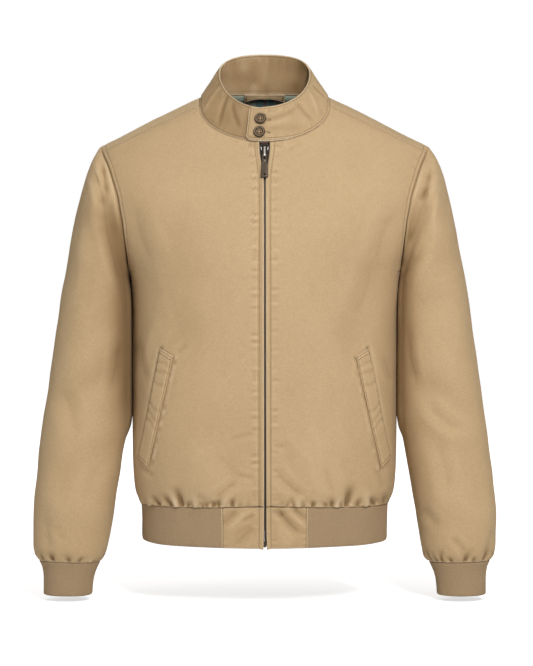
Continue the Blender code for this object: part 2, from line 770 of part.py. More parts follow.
def make_welts():
    """The slanted pocket welts, lying on the fronts."""
    (inner_top, outer_top), (inner_low, outer_low) = WELT_TOP, WELT_BOTTOM
    for name, panel in FRONTS.items():
        panel = panel if name == "left" else mirrored(panel)
        rows = []
        for t in np.linspace(0, 1, 5):
            low = Vector(inner_low).lerp(Vector(outer_low), t)
            top = Vector(inner_top).lerp(Vector(outer_top), t)
            rows.append([on_panel(panel, *low.lerp(top, s)) for s in np.linspace(0, 1, 9)])
        rows = rows if name == "left" else mirrored(rows)
        sheet(f"pocket_welt_{name}", rows, shell_cloth(), WELT, flip=name == "left", inset=-WELT_STANDS)


def make_hanger_loop():
    """A strip under the back neck seam, both ends sewn on the lining, its middle standing off it."""
    rows = []
    for edge in (0.0, 1.0):
        row = []
        for s in np.linspace(-1, 1, 9):
            z = LOOP_TOP_Z - edge * (LOOP_WIDE + LOOP_DROP * s**4)
            x = s * LOOP_HALF
            lining = skin(*place_of(abs(x), z), 1).y - LOOP_DEEP
            row.append(Vector((x, lining - edge * LOOP_STANDS_OFF * (1 - s**4), z)))
        rows.append(row)
    sheet("hanger_loop", rows, shell_cloth(), LOOP_THICK)


# ================================================================ zip
ZIP_LINE = [row[0] for row in reversed(HEM_TAB_ROWS)]
ZIP_LINE += [row[0] for row in FRONTS["left"][1 : len(LOW_ROWS) + CHEST_ROWS]]


def zip_frame(z):
    """Origin, up and out of the zip at a height. It follows the front edges' own points."""
    i = next((i for i in range(len(ZIP_LINE) - 2) if ZIP_LINE[i + 1].z > z), len(ZIP_LINE) - 2)
    low, high = ZIP_LINE[i], ZIP_LINE[i + 1]
    here = low.lerp(high, (z - low.z) / (high.z - low.z))
    up = Vector((0, high.y - low.y, high.z - low.z)).normalized()
    return Vector((0, here.y, z)), up, Vector((0, -up.z, up.y))


def zip_strip(name, side, inner, outer, depth, thick, heights, finish):
    """A strip down the zip between two distances from its middle, a depth below the cloth's face."""
    rows = []
    for z in heights:
        middle, _, out = zip_frame(z)
        rows.append([middle + Vector((side * x, -depth / out.y, 0)) for x in (inner(z), outer(z))])
    sheet(name, rows, finish, thick, flip=side > 0)


def parting(z):
    """How far each half of the zip stands from the middle because of the slider."""
    low, high = SLIDER_Z - SLIDER_LONG / 2, SLIDER_Z + SLIDER_LONG / 4
    t = min(1.0, max(0.0, (z - low) / (high - low)))
    return CHAIN_SPREAD * t * t * (3 - 2 * t)


def make_zip_strips():
    spread = [SLIDER_Z + SLIDER_LONG * t for t in (0.35, 0.15, -0.05, -0.25, -0.4, -0.55)]
    line = [p.z for p in ZIP_LINE if ZIP_BOTTOM_Z < p.z < ZIP_TOP_Z]
    for side, name in ((1, "left"), (-1, "right")):
        tape = sorted([ZIP_TOP_Z, ZIP_BOTTOM_Z] + spread + line, reverse=True)
        zip_strip(
            f"zip_tape_{name}", side, lambda z: TAPE_INNER + parting(z), lambda z: TAPE_OUTER,
            TAPE_DEPTH, TAPE_THICK, tape, zip_tape_cloth(),
        )
        chain = [CHAIN_TOP_Z] + [z for z in tape if CHAIN_BOTTOM_Z < z < CHAIN_TOP_Z] + [CHAIN_BOTTOM_Z]
        zip_strip(
            f"zip_chain_{name}", side, lambda z: CHAIN_INNER + parting(z),
            lambda z: CHAIN_OUTER + parting(z), CHAIN_DEPTH, CHAIN_THICK, chain, zip_metal(),
        )


def zip_object(name, curve, place, finish, collection="harrington_jacket"):
    """A curve in the zip's own axes, x across, y up along it and z out of the cloth, made a mesh."""
    guide = bpy.data.objects.new(name + "_curve", curve)
    bpy.context.scene.collection.objects.link(guide)
    bpy.context.view_layer.update()
    graph = bpy.context.evaluated_depsgraph_get()
    mesh = bpy.data.meshes.new_from_object(guide.evaluated_get(graph))
    bpy.data.objects.remove(guide)
    welded = bmesh.new()
    welded.from_mesh(mesh)
    bmesh.ops.remove_doubles(welded, verts=welded.verts, dist=0.001 * MM)
    bmesh.ops.recalc_face_normals(welded, faces=welded.faces)
    welded.to_mesh(mesh)
    welded.free()
    mesh.materials.clear()
    piece = add(name, mesh, finish, collection)
    origin, up, out = place
    turned = Matrix((Vector((1, 0, 0)), up, out)).transposed().to_4x4()
    piece.matrix_world = Matrix.Translation(origin * MM) @ turned
    return piece


def curve_through(points, closed, dimensions):
    curve = bpy.data.curves.new("outline", "CURVE")
    curve.dimensions = dimensions
    line = curve.splines.new("POLY")
    line.points.add(len(points) - 1)
    for point, place in zip(line.points, points):
        point.co = (*(v * MM for v in place), 1)
    line.use_cyclic_u = closed
    return curve


def plate(points, thick):
    """A flat outline of x and y, half its thickness to either side."""
    curve = curve_through([(x, y, 0) for x, y in points], True, "2D")
    curve.fill_mode = "BOTH"
    curve.extrude = thick / 2 * MM
    return curve


def raised(place, height):
    origin, up, out = place
    return origin + out * height, up, out


def rod(points, radius):
    """A round rod through points, with filled ends."""
    curve = curve_through(points, False, "3D")
    curve.bevel_depth = radius * MM
    curve.bevel_resolution = 1
    curve.use_fill_caps = True
    return curve


def cut(piece, other, operation="DIFFERENCE"):
    """A Boolean with another object, which is kept as a hidden guide."""
    step = piece.modifiers.new(operation.title(), "BOOLEAN")
    step.operation = operation
    step.solver = "EXACT"
    step.object = other
    other.hide_render = True
    other.display_type = "WIRE"


def bevelled(piece, width):
    edges = piece.modifiers.new("Bevel", "BEVEL")
    edges.width = width * MM
    edges.segments = 1


def make_slider():
    """Two plates joined by a post that parts the zip, with the bridge that holds the pull."""
    place = zip_frame(SLIDER_Z)
    half, wide, low = SLIDER_LONG / 2, SLIDER_HALF_TOP, SLIDER_HALF_BOTTOM
    right = [(low, -half), (low + 0.3, 0), (wide, 0.45 * half), (wide, 0.75 * half), (wide - 1.6, half)]
    right += [(1.6, half)]
    outline = right + [(0, 0.8 * half)] + [(-x, y) for x, y in right[::-1]]
    front, back = SLIDER_FRONT - SLIDER_FRONT_THICK / 2, SLIDER_BACK - SLIDER_BACK_THICK / 2
    slider = zip_object("zip_slider", plate(outline, SLIDER_FRONT_THICK), raised(place, front), zip_metal())
    bevelled(slider, 0.3)
    under = plate(outline, SLIDER_BACK_THICK)
    under = zip_object("slider_back_plate", under, raised(place, back), None, "cutters")
    post_y = half - 0.5 - POST_LONG, half - 2.2
    post = [(-0.3, post_y[0]), (0.3, post_y[0]), (POST_HALF, post_y[1]), (-POST_HALF, post_y[1])]
    post = plate(post, front - back)
    post = zip_object("slider_post", post, raised(place, (front + back) / 2), None, "cutters")
    top, foot = SLIDER_FRONT + BRIDGE_CLEAR + BRIDGE_ROD, BRIDGE_FOOT - half
    head = foot + BRIDGE_LONG
    arch = [(foot, front), (foot, top - 1), (foot + 1, top), (head - 1.4, top), (head, top - 1.2)]
    arch = rod([(0, y, z) for y, z in arch + [(head, front)]], BRIDGE_ROD)
    bridge = zip_object("slider_bridge", arch, place, None, "cutters")
    for other in (under, post, bridge):
        cut(slider, other, "UNION")


def make_pull():
    """The pull: a plate with a slot at its top, whose upper bar turns under the slider's bridge."""
    origin, up, out = zip_frame(SLIDER_Z)
    pin = origin + up * PIN_UP + out * PIN_OUT
    tilt = Matrix.Rotation(math.radians(PULL_TILT), 3, "X")
    place = (pin, tilt @ up, tilt @ out)
    top, low = PIN_RADIUS, PIN_RADIUS - PULL_LONG
    a, b, s = PULL_HALF_TOP, PULL_HALF_BOTTOM, PULL_SLOT_HALF
    right = [(a - 0.9, top), (a, top - 1.2), (a, top - 7), (b, low + 3), (b, low + 1.2), (b - 1.2, low)]
    outline = right + [(-x, y) for x, y in right[::-1]]
    pull = zip_object("zip_pull", plate(outline, PULL_THICK), place, zip_metal())
    bevelled(pull, 0.25)
    slot = [(-s, -PIN_RADIUS), (s, -PIN_RADIUS), (s, -PIN_RADIUS - PULL_SLOT_LONG)]
    slot = plate(slot + [(-s, -PIN_RADIUS - PULL_SLOT_LONG)], 4 * PULL_THICK)
    cut(pull, zip_object("pull_slot", slot, place, None, "cutters"))
    turns = np.linspace(0, 2 * math.pi, 16, endpoint=False)
    hole = [(PULL_HOLE * math.cos(t), low + PULL_HOLE_UP + PULL_HOLE * math.sin(t)) for t in turns]
    cut(pull, zip_object("pull_hole", plate(hole, 4 * PULL_THICK), place, None, "cutters"))
    return pin


def make_zip_ends():
    """The top stops, and the box that holds the zip's two halves at the waist."""
    place = raised(zip_frame(STOP_Z), STOP_THICK / 2 + SEAM - 0.1 - TAPE_DEPTH)
    x, y = STOP_HALF, STOP_LONG / 2
    for side, name in ((1, "left"), (-1, "right")):
        middle = side * STOP_X
        stop = plate([(middle - x, -y), (middle + x, -y), (middle + x, y), (middle - x, y)], STOP_THICK)
        zip_object(f"zip_stop_{name}", stop, place, zip_metal())
    place = raised(zip_frame(CHAIN_BOTTOM_Z - SEAM), -BOX_DEEP)
    x, y = BOX_HALF, -BOX_LONG
    box = plate([(-x, y), (x, y), (x, 0), (-x, 0)], BOX_THICK)
    bevelled(zip_object("zip_box", box, place, zip_metal()), 0.3)


# ================================================================ buttons
def make_button(name, place, up):
    """A four-hole button with a raised rim, turned about its own axis, lying on the collar tab."""
    r, t = BUTTON_RADIUS, BUTTON_THICK
    dish = t - BUTTON_DISH
    # From the axis on the face, over the rim and down the outside, to the axis on the underside.
    profile = [(0, dish), (r - BUTTON_RIM - 0.8, dish), (r - BUTTON_RIM, t - 0.15), (r - 0.9, t)]
    profile += [(r - 0.2, t - 0.5), (r, t * 0.55), (r - 0.5, 0.25), (r - 1.4, 0), (0, 0)]
    line = bmesh.new()
    points = [line.verts.new((x * MM, 0, z * MM)) for x, z in profile]
    for a, b in zip(points, points[1:]):
        line.edges.new((a, b))
    mesh = bpy.data.meshes.new(name)
    line.to_mesh(mesh)
    line.free()
    button = add(name, mesh, button_horn())
    turn = button.modifiers.new("Screw", "SCREW")
    turn.steps = turn.render_steps = 24
    turn.use_merge_vertices = True
    turn.merge_threshold = 0.00001
    along = collar_at(place + 0.01, up) - collar_at(place - 0.01, up)
    out = (collar_at(place, up + 0.05) - collar_at(place, up - 0.05)).cross(along).normalized()
    side = Vector((0, 0, 1)).cross(out).normalized()
    axes = Matrix((side, out.cross(side), out)).transposed().to_4x4()
    where = Matrix.Translation((collar_at(place, up) + out * BUTTON_STANDS) * MM) @ axes
    button.matrix_world = where
    offset = BUTTON_HOLE_PITCH / 2 * MM
    drill = bmesh.new()
    for x in (-offset, offset):
        for y in (-offset, offset):
            bmesh.ops.create_cone(
                drill, cap_ends=True, segments=8, radius1=BUTTON_HOLE * MM, radius2=BUTTON_HOLE * MM,
                depth=4 * t * MM, matrix=Matrix.Translation((x, y, 0)),
            )
    mesh = bpy.data.meshes.new(name + "_holes")
    drill.to_mesh(mesh)
    drill.free()
    holes = add(name + "_holes", mesh, None, "cutters")
    holes.matrix_world = where
    cut(button, holes)


def main():
    for old in list(bpy.data.objects):
        bpy.data.objects.remove(old)
    make_fronts()
    make_back()
    make_back_lining()
    make_hem_tabs()
    make_hem_rib()
    make_sleeve_and_cuff(1, "left", SLEEVE_LEFT_FOLDS)
    make_sleeve_and_cuff(-1, "right", SLEEVE_RIGHT_FOLDS)
    make_collar()
    make_welts()
    make_hanger_loop()
    make_zip_strips()
    make_slider()
    pin = make_pull()
    make_zip_ends()
    for name, (place, up) in BUTTONS.items():
        make_button(name, place, up)
    print("pull turns about x at", [round(v * MM, 5) for v in pin])


main()
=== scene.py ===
import json
import math

import bmesh
import bpy
import numpy as np
from mathutils import Matrix, Vector
from mathutils.bvhtree import BVHTree

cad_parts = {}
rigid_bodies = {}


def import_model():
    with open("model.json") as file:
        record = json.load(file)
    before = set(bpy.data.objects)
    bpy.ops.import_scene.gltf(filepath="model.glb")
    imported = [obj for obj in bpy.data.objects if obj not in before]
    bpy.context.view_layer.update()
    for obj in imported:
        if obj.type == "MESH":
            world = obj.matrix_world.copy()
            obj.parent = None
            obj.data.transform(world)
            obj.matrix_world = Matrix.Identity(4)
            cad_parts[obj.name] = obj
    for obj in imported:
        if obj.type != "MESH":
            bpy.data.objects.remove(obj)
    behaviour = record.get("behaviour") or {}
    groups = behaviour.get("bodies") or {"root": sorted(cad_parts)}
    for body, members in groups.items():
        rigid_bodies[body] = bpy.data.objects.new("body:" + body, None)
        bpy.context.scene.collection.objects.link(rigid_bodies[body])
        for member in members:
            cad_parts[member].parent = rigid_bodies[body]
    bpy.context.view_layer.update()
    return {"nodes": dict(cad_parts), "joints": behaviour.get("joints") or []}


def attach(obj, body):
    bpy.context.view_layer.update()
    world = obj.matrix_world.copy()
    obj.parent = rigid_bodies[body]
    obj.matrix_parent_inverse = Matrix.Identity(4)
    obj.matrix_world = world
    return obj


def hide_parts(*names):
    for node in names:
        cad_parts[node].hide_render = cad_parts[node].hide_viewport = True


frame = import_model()

# All tables and sizes are in millimetres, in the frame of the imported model: +Z up, front at -Y.
mm = 0.001
jacket, pullBody = "jacket", "pull"


# ---- reading tables, smoothing and noise
def between(a, b, t):
    return a + (b - a) * t


def smooth(t):
    t = np.clip(t, 0.0, 1.0)
    return t * t * (3 - 2 * t)


def bell(value, middle, width):
    return np.exp(-(((value - middle) / width) ** 2))


def fadingEnds(t, whole, over):
    # 1 about the middle of a length that t runs along from 0 to 1, then fading out
    return bell(np.maximum(0, np.abs(t - 0.5) - whole), 0, over)


def rolled(t):
    # how far a turned edge has dropped, from 0 to 1, round a quarter of a circle
    return 1 - np.sqrt(np.clip(1 - t**2, 0, 1))


def unit(v):
    return v / np.maximum(np.linalg.norm(v, axis=-1, keepdims=True), 1e-9)


def smoothTable(rows):
    # reads rows at any value of their first column, by a curve that never overshoots a row
    rows = np.array(sorted(rows), float)
    places, values = rows[:, 0], rows[:, 1:]
    steps = np.diff(places)[:, None]
    slopes = np.diff(values, axis=0) / steps
    sameWay = slopes[:-1] * slopes[1:] > 0
    before, after = np.where(sameWay, slopes[:-1], 1.0), np.where(sameWay, slopes[1:], 1.0)
    near, far = 2 * steps[1:] + steps[:-1], steps[1:] + 2 * steps[:-1]
    mean = (near + far) / (near / before + far / after)
    slopes = np.vstack([slopes[:1], np.where(sameWay, mean, 0.0), slopes[-1:]])

    def read(where):
        where = np.clip(np.asarray(where, float), places[0], places[-1])
        i = np.clip(np.searchsorted(places, where, side="right") - 1, 0, len(places) - 2)
        step = (places[i + 1] - places[i])[..., None]
        t = ((where - places[i])[..., None]) / step
        return (
            values[i] * (1 + 2 * t) * (1 - t) ** 2
            + slopes[i] * step * t * (1 - t) ** 2
            + values[i + 1] * t * t * (3 - 2 * t)
            + slopes[i + 1] * step * t * t * (t - 1)
        )

    return read


def cloud(points, size, seed):
    # smooth seeded noise from -1 to 1, with lumps of this size
    lattice = np.random.default_rng(seed).uniform(-1, 1, (32, 32, 32))
    p = np.asarray(points) / size + 500
    i = np.floor(p).astype(int)
    f = p - i
    f = f * f * (3 - 2 * f)
    total = 0
    for corner in range(8):
        bits = np.array([corner & 1, corner >> 1 & 1, corner >> 2 & 1])
        at = (i + bits) % 32
        share = np.prod(np.where(bits, f, 1 - f), axis=-1)
        total = total + share * lattice[at[..., 0], at[..., 1], at[..., 2]]
    return total


def ripple(along, size, seed):
    along = np.asarray(along, float)
    return cloud(np.stack([along, np.full_like(along, seed * 7.3), np.zeros_like(along)], -1), size, seed)


# ---- the jacket's form
square = 2.3  # how square a level cut is, 2 being an ellipse
bodyRings = smoothTable([
    # z, half width, front, back
    (40, 237, 62, 87), (-65, 238, 83.5, 107), (-110, 236, 103, 116), (-150, 229, 118, 122),
    (-180, 220, 126, 125), (-210, 207, 132, 127), (-240, 194.5, 136, 128), (-262, 190, 137.5, 127.5),
    (-300, 188.5, 138.5, 126), (-380, 188, 138, 120.5), (-450, 187.7, 137, 118), (-515, 186.8, 135, 118),
    (-545, 185, 132.5, 116), (-560, 182.5, 129.5, 113.5), (-570, 178.5, 126, 110.5), (-576, 176, 124, 109),
])
bandRings = smoothTable([
    (-570, 176.6, 124.5, 109.5), (-582, 174.6, 123.4, 108.4), (-600, 174, 123, 108),
    (-618, 174, 123, 108), (-628, 173, 122.4, 107.2),
])
shoulderRidge = smoothTable([
    # x, z, y, rounding
    (0, 38, 12, 140), (45, 22, 12, 140), (91, 0, 12, 138), (122, -15.5, 11, 128), (156, -32.5, 9, 116),
    (188, -48, 7, 104), (210, -58.5, 6, 96), (234, -71.5, 6, 90),
])
armholeRows = [
    # drop below the ridge, turn on the front and on the back, in degrees
    (0, 77, 77), (11, 73.5, 74.5), (34, 67, 69), (60, 63, 66.5), (90, 61, 65),
    (120, 62, 65.5), (150, 67, 69), (174, 74, 75), (190, 82, 82.5), (197, 90, 90),
]
armholes = {
    face: smoothTable([(i / 9, math.radians((ahead, behind)[face > 0]), drop)
                       for i, (drop, ahead, behind) in enumerate(armholeRows)])
    for face in (-1, 1)
}
underarmZ = -246
neck = {"half": 91, "cornerZ": -14, "frontZ": -65.5, "backZ": 7}
hem = {"frontZ": -570.5, "sideZ": -575, "frontBottom": -629.5, "sideBottom": -628}
# half the opening between the fronts' folded edges
zipGap = smoothTable([
    (-62, 7.4), (-74, 7.2), (-84, 6.3), (-91, 5.2), (-98, 4.2), (-107, 3.0), (-116, 1.5),
    (-130, 1.15), (-350, 1.25), (-560, 1.5), (-605, 1.7), (-632, 2.6),
])
zipDrift = smoothTable([(-632, 0.9), (-560, 0.9), (-350, 0.6), (-118, 0.3), (-90, 0), (-62, 0)])
frontGap = smoothTable([(-65, 7.4), (-72, 7.2), (-88, 5.4), (-102, 3.3), (-116, 2.5), (-630, 2.5)])


def ringTurn(x, halfWidth):
    return np.arcsin(np.minimum(1.0, (np.abs(x) / halfWidth) ** (square / 2)))


def ovalPoint(turn, halfWidth, depth):
    return (
        halfWidth * np.sin(turn) ** (2 / square),
        depth * np.maximum(0.0, np.cos(turn)) ** (2 / square),
    )


def bodySkin(turn, z, face):
    ring = bodyRings(z)
    x, depth = ovalPoint(turn, ring[..., 0], ring[..., 2] if face > 0 else -ring[..., 1])
    ridge = shoulderRidge(x)
    share = np.clip((ridge[..., 0] - z) / ridge[..., 2], 0, 1)
    rounded = np.sqrt(1 - (1 - share) ** 2)
    return np.stack([x, between(ridge[..., 1], depth, rounded), z + 0 * x], -1)


def placeOf(x, z):
    return ringTurn(x, bodyRings(z)[..., 0]), z


def armholePlace(face, along):
    found = armholes[face](along)
    x = np.full(np.shape(along), 234.0)
    for _ in range(14):
        z = shoulderRidge(x)[..., 0] - found[..., 1]
        x = ovalPoint(found[..., 0], bodyRings(z)[..., 0], 0)[0]
    return found[..., 0], z


def neckFrontPlace(angle):
    return placeOf(neck["half"] * np.sin(angle), between(neck["cornerZ"], neck["frontZ"], np.cos(angle)))


def neckBackPlace(angle):
    return placeOf(neck["half"] * np.cos(angle), neck["backZ"] * np.sin(angle) ** 2)


def runAlong(points, axis=0):
    step = np.linalg.norm(np.diff(points, axis=axis), axis=-1)
    return np.concatenate([np.zeros_like(np.take(step, [0], axis)), np.cumsum(step, axis)], axis)


def placedOn(line, shares):
    run = runAlong(line)
    run = run / run[-1]
    return np.stack([np.interp(shares, run, line[:, k]) for k in range(3)], -1)


def gradedShares(length, fine, coarse, nearEdge):
    # shares of a length, with fine steps near its two ends and coarse ones between
    s = np.linspace(0, length, 3000)
    edge = np.minimum(s, length - s)
    density = 1 / between(fine, coarse, smooth((edge - nearEdge) / nearEdge))
    count = np.concatenate([[0], np.cumsum((density[1:] + density[:-1]) / 2 * np.diff(s))])
    return np.interp(np.linspace(0, count[-1], int(round(count[-1])) + 1), count, s) / length


def rowsAcross(inner, outer, face, shares):
    # rows between two places of the skin, each straight as seen from the front
    (innerTurn, innerZ), (outerTurn, outerZ) = [[np.asarray(v)[:, None] for v in p] for p in (inner, outer)]
    t = np.linspace(0, 1, 220)[None]
    turn, z = between(innerTurn, outerTurn, t), between(innerZ, outerZ, t)
    innerX = ovalPoint(innerTurn, bodyRings(innerZ)[..., 0], 0)[0]
    outerX = ovalPoint(outerTurn, bodyRings(outerZ)[..., 0], 0)[0]
    for _ in range(6):
        x = ovalPoint(turn, bodyRings(z)[..., 0], 0)[0]
        z = between(innerZ, outerZ, (x - innerX) / (outerX - innerX))
    points = bodySkin(turn, np.minimum(z, shoulderRidge(x)[..., 0]), face)
    return np.stack([placedOn(row, shares) for row in points])


lowRows = smoothTable([
    # row, z at the middle and at the side seam
    (0, hem["frontZ"], hem["sideZ"]), (1, -559, -563), (2, -541, -544), (3, -508, -510), (4, -460, -461),
    (5, -408, -408), (6, -350, -350), (7, -295, -295), (8, underarmZ, underarmZ),
])
backChest = smoothTable([(0, underarmZ), (1, -180), (2, -122), (3, -72), (4, -30), (5, neck["backZ"])])
frontSplit, backSplit, shoulderSplit = 0.46, 0.42, 1 / 9  # places along the armhole


def frontEnds(row):
    # the inner and outer place of a front's rows: 0 the hem, 8 the underarm, 12 the neck, 18 the shoulder
    low, chest, high = lowRows(row), np.clip((row - 8) / 4, 0, 1), np.clip((row - 12) / 6, 0, 1)
    z = np.where(row < 8, low[:, 0], between(underarmZ, neck["frontZ"], chest))
    edge = math.asin(frontGap(neck["frontZ"])[0] / neck["half"])
    neckTurn, neckZ = neckFrontPlace(between(edge, math.pi / 2, high))
    innerTurn = np.where(row > 12, neckTurn, ringTurn(frontGap(z)[:, 0], bodyRings(z)[:, 0]))
    along = np.where(row < 12, between(1, frontSplit, chest), between(frontSplit, shoulderSplit, high))
    outerTurn, outerZ = armholePlace(-1, along)
    return (innerTurn, np.where(row > 12, neckZ, z)), (
        np.where(row < 8, math.pi / 2, outerTurn), np.where(row < 8, low[:, 1], outerZ))


def backEnds(row):
    # 0 the hem, 8 the underarm, 13 the neck's lowest point, 18 the ridge, 19 the forward shoulder seam
    low, chest, high = lowRows(row), np.clip(row - 8, 0, 5), np.clip((row - 13) / 5, 0, 1)
    neckTurn, neckZ = neckBackPlace(between(math.pi / 2, 0, high))
    z = np.where(row < 8, low[:, 0], backChest(chest)[:, 0])
    along = np.where(row < 13, between(1, backSplit, chest / 5), between(backSplit, 0, high))
    outerTurn, outerZ = armholePlace(1, along)
    return (np.where(row > 13, neckTurn, 0.0), np.where(row > 13, neckZ, z)), (
        np.where(row < 8, math.pi / 2, outerTurn), np.where(row < 8, low[:, 1], outerZ))


def rowPlaces(ends, face, last, fine, coarse, nearEdge):
    # fractional rows spaced by the length of the outer edge and the inner one together
    row = np.linspace(0, last, 500)
    inner, outer = ends(row)
    lines = [bodySkin(np.asarray(a), np.asarray(b), face) for a, b in (inner, outer)]
    run = sum(runAlong(line) for line in lines) / 2
    return np.interp(gradedShares(run[-1], fine, coarse, nearEdge) * run[-1], run, row)


# ---- creases, folds and gathers
def broadFolds(x, z, table):
    height = np.zeros_like(x)
    for x0, z0, x1, z1, halfWidth, most in table:
        runX, runZ = x1 - x0, z1 - z0
        t = ((x - x0) * runX + (z - z0) * runZ) / (runX**2 + runZ**2)
        aside = np.hypot(x - x0 - runX * t, z - z0 - runZ * t) / halfWidth
        height += most * bell(aside, 0, 1) * fadingEnds(t, 0.3, 0.35)
    return height


def creases(x, z, table):
    # each: from x, z, to x, z, half width, height, sideways bend
    height = np.zeros_like(x)
    for x0, z0, x1, z1, halfWidth, most, bend in table:
        runX, runZ = x1 - x0, z1 - z0
        length = math.hypot(runX, runZ)
        t = ((x - x0) * runX + (z - z0) * runZ) / length**2
        aside = ((x - x0) * runZ - (z - z0) * runX) / length - bend * 4 * t * (1 - t)
        a = np.abs(aside) / halfWidth
        profile = np.exp(-(a**1.5)) - 0.22 * bell(a, 1.9, 0.7)
        height += most * profile * fadingEnds(t, 0.28, 0.3)
    return height


def gathers(along, above, table):
    # each: place along the seam, lean, length, half width, height; it opens and fades away from the seam
    height = np.zeros_like(along)
    for at, lean, length, halfWidth, most in table:
        t = np.clip(above / length, 0, 1)
        a = (along - at - lean * t) / (halfWidth * (0.5 + 1.2 * t))
        height += (most if most < 0 else 0.6 * most) * np.exp(-a * a) * (1 - smooth(t))
    return height


def looseGathers(end, spacing, lengths, widths, heights, seed):
    # uneven gathers along a seam from 0 to its end
    rng = np.random.default_rng(seed)
    table, at = [], spacing * rng.uniform(0.3, 1)
    while at < end:
        most = rng.uniform(*heights) * rng.choice([-1, 1], p=[0.62, 0.38])
        table.append((at, rng.uniform(-6, 6), rng.uniform(*lengths), rng.uniform(*widths), most))
        at += spacing * rng.uniform(0.45, 1.7)
    return table


def gridNormals(points, outward, closed=False):
    up = np.gradient(points, axis=0)
    if closed:
        along = np.roll(points, -1, axis=1) - np.roll(points, 1, axis=1)
    else:
        along = np.gradient(points, axis=1)
    return unit(np.cross(along, up)) * outward


def nearLine(points, line):
    # each point's distance to a line, and how far along the line that is
    run = runAlong(line)
    flat = points.reshape(-1, 3)
    away, place = np.empty(len(flat)), np.empty(len(flat))
    for i in range(0, len(flat), 4000):
        gap = np.linalg.norm(flat[i : i + 4000, None] - line[None], axis=-1)
        nearest = gap.argmin(1)
        away[i : i + 4000] = gap[np.arange(len(gap)), nearest]
        place[i : i + 4000] = run[nearest]
    return away.reshape(points.shape[:-1]), place.reshape(points.shape[:-1])


def shadeAndFadeBy(height, deep=2.4):
    # washed cloth is paler on its raised puckers, and its hollows get painted shade: 0.5 is neither
    level = height
    for _ in range(3):
        p = np.pad(level, 1, mode="edge")
        level = (p[:-2, 1:-1] + p[2:, 1:-1] + p[1:-1, :-2] + p[1:-1, 2:] + 2 * level) / 6
    return np.clip(0.5 + (height - level) / deep, 0, 1)


# ---- making pieces
def ringFaces(gaps, sides, flipped=False):
    # the faces between rings of vertices, one ring more than there are gaps
    faces = []
    for i in range(gaps):
        for k in range(sides):
            a, b = i * sides + k, i * sides + (k + 1) % sides
            faces.append((a, a + sides, b + sides, b) if flipped else (a, b, b + sides, a + sides))
    return faces


def inScene(name, data):
    held = bpy.data.objects.new(name, data)
    bpy.context.scene.collection.objects.link(held)
    return held


def shadedSmooth(mesh, *finishes):
    for finish in finishes:
        mesh.materials.append(finish)
    mesh.polygons.foreach_set("use_smooth", [True] * len(mesh.polygons))
    return mesh


def meshFrom(made, name):
    # the mesh that a bmesh holds, which is then let go
    mesh = bpy.data.meshes.new(name)
    made.to_mesh(mesh)
    made.free()
    return mesh


def facedOut(mesh):
    made = bmesh.new()
    made.from_mesh(mesh)
    bmesh.ops.recalc_face_normals(made, faces=made.faces)
    made.to_mesh(mesh)
    made.free()


def cutBy(piece, cutter):
    step = piece.modifiers.new("cut", "BOOLEAN")
    step.object, step.operation, step.solver = cutter, "DIFFERENCE", "EXACT"


def settled(piece, *cutters):
    # the mesh left once the modifiers have run, with what they needed put away
    bpy.context.view_layer.update()
    mesh = bpy.data.meshes.new_from_object(piece.evaluated_get(bpy.context.evaluated_depsgraph_get()))
    for used in (piece, *cutters):
        bpy.data.objects.remove(used)
    return mesh


def softened(piece, width, angle):
    step = piece.modifiers.new("soften", "BEVEL")
    step.width, step.segments = width * mm, 2
    step.limit_method, step.angle_limit = "ANGLE", math.radians(angle)


def meshPiece(name, vertices, faces, finish, smoothShaded=True):
    mesh = bpy.data.meshes.new(name)
    faces = np.asarray(faces)
    mesh.vertices.add(len(vertices))
    mesh.vertices.foreach_set("co", (np.asarray(vertices) * mm).ravel())
    mesh.loops.add(faces.size)
    mesh.loops.foreach_set("vertex_index", faces.ravel().astype(np.int32))
    mesh.polygons.add(len(faces))
    mesh.polygons.foreach_set("loop_start", np.arange(0, faces.size, faces.shape[1], dtype=np.int32))
    mesh.update(calc_edges=True)
    mesh.polygons.foreach_set("use_smooth", np.full(len(faces), smoothShaded))
    mesh.materials.append(finish)
    piece = inScene(name, mesh)
    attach(piece, jacket)
    return piece


edgeReach = 30  # millimetres from an edge at which its edge attribute, which places edge wear and a painted highlight, reaches 1
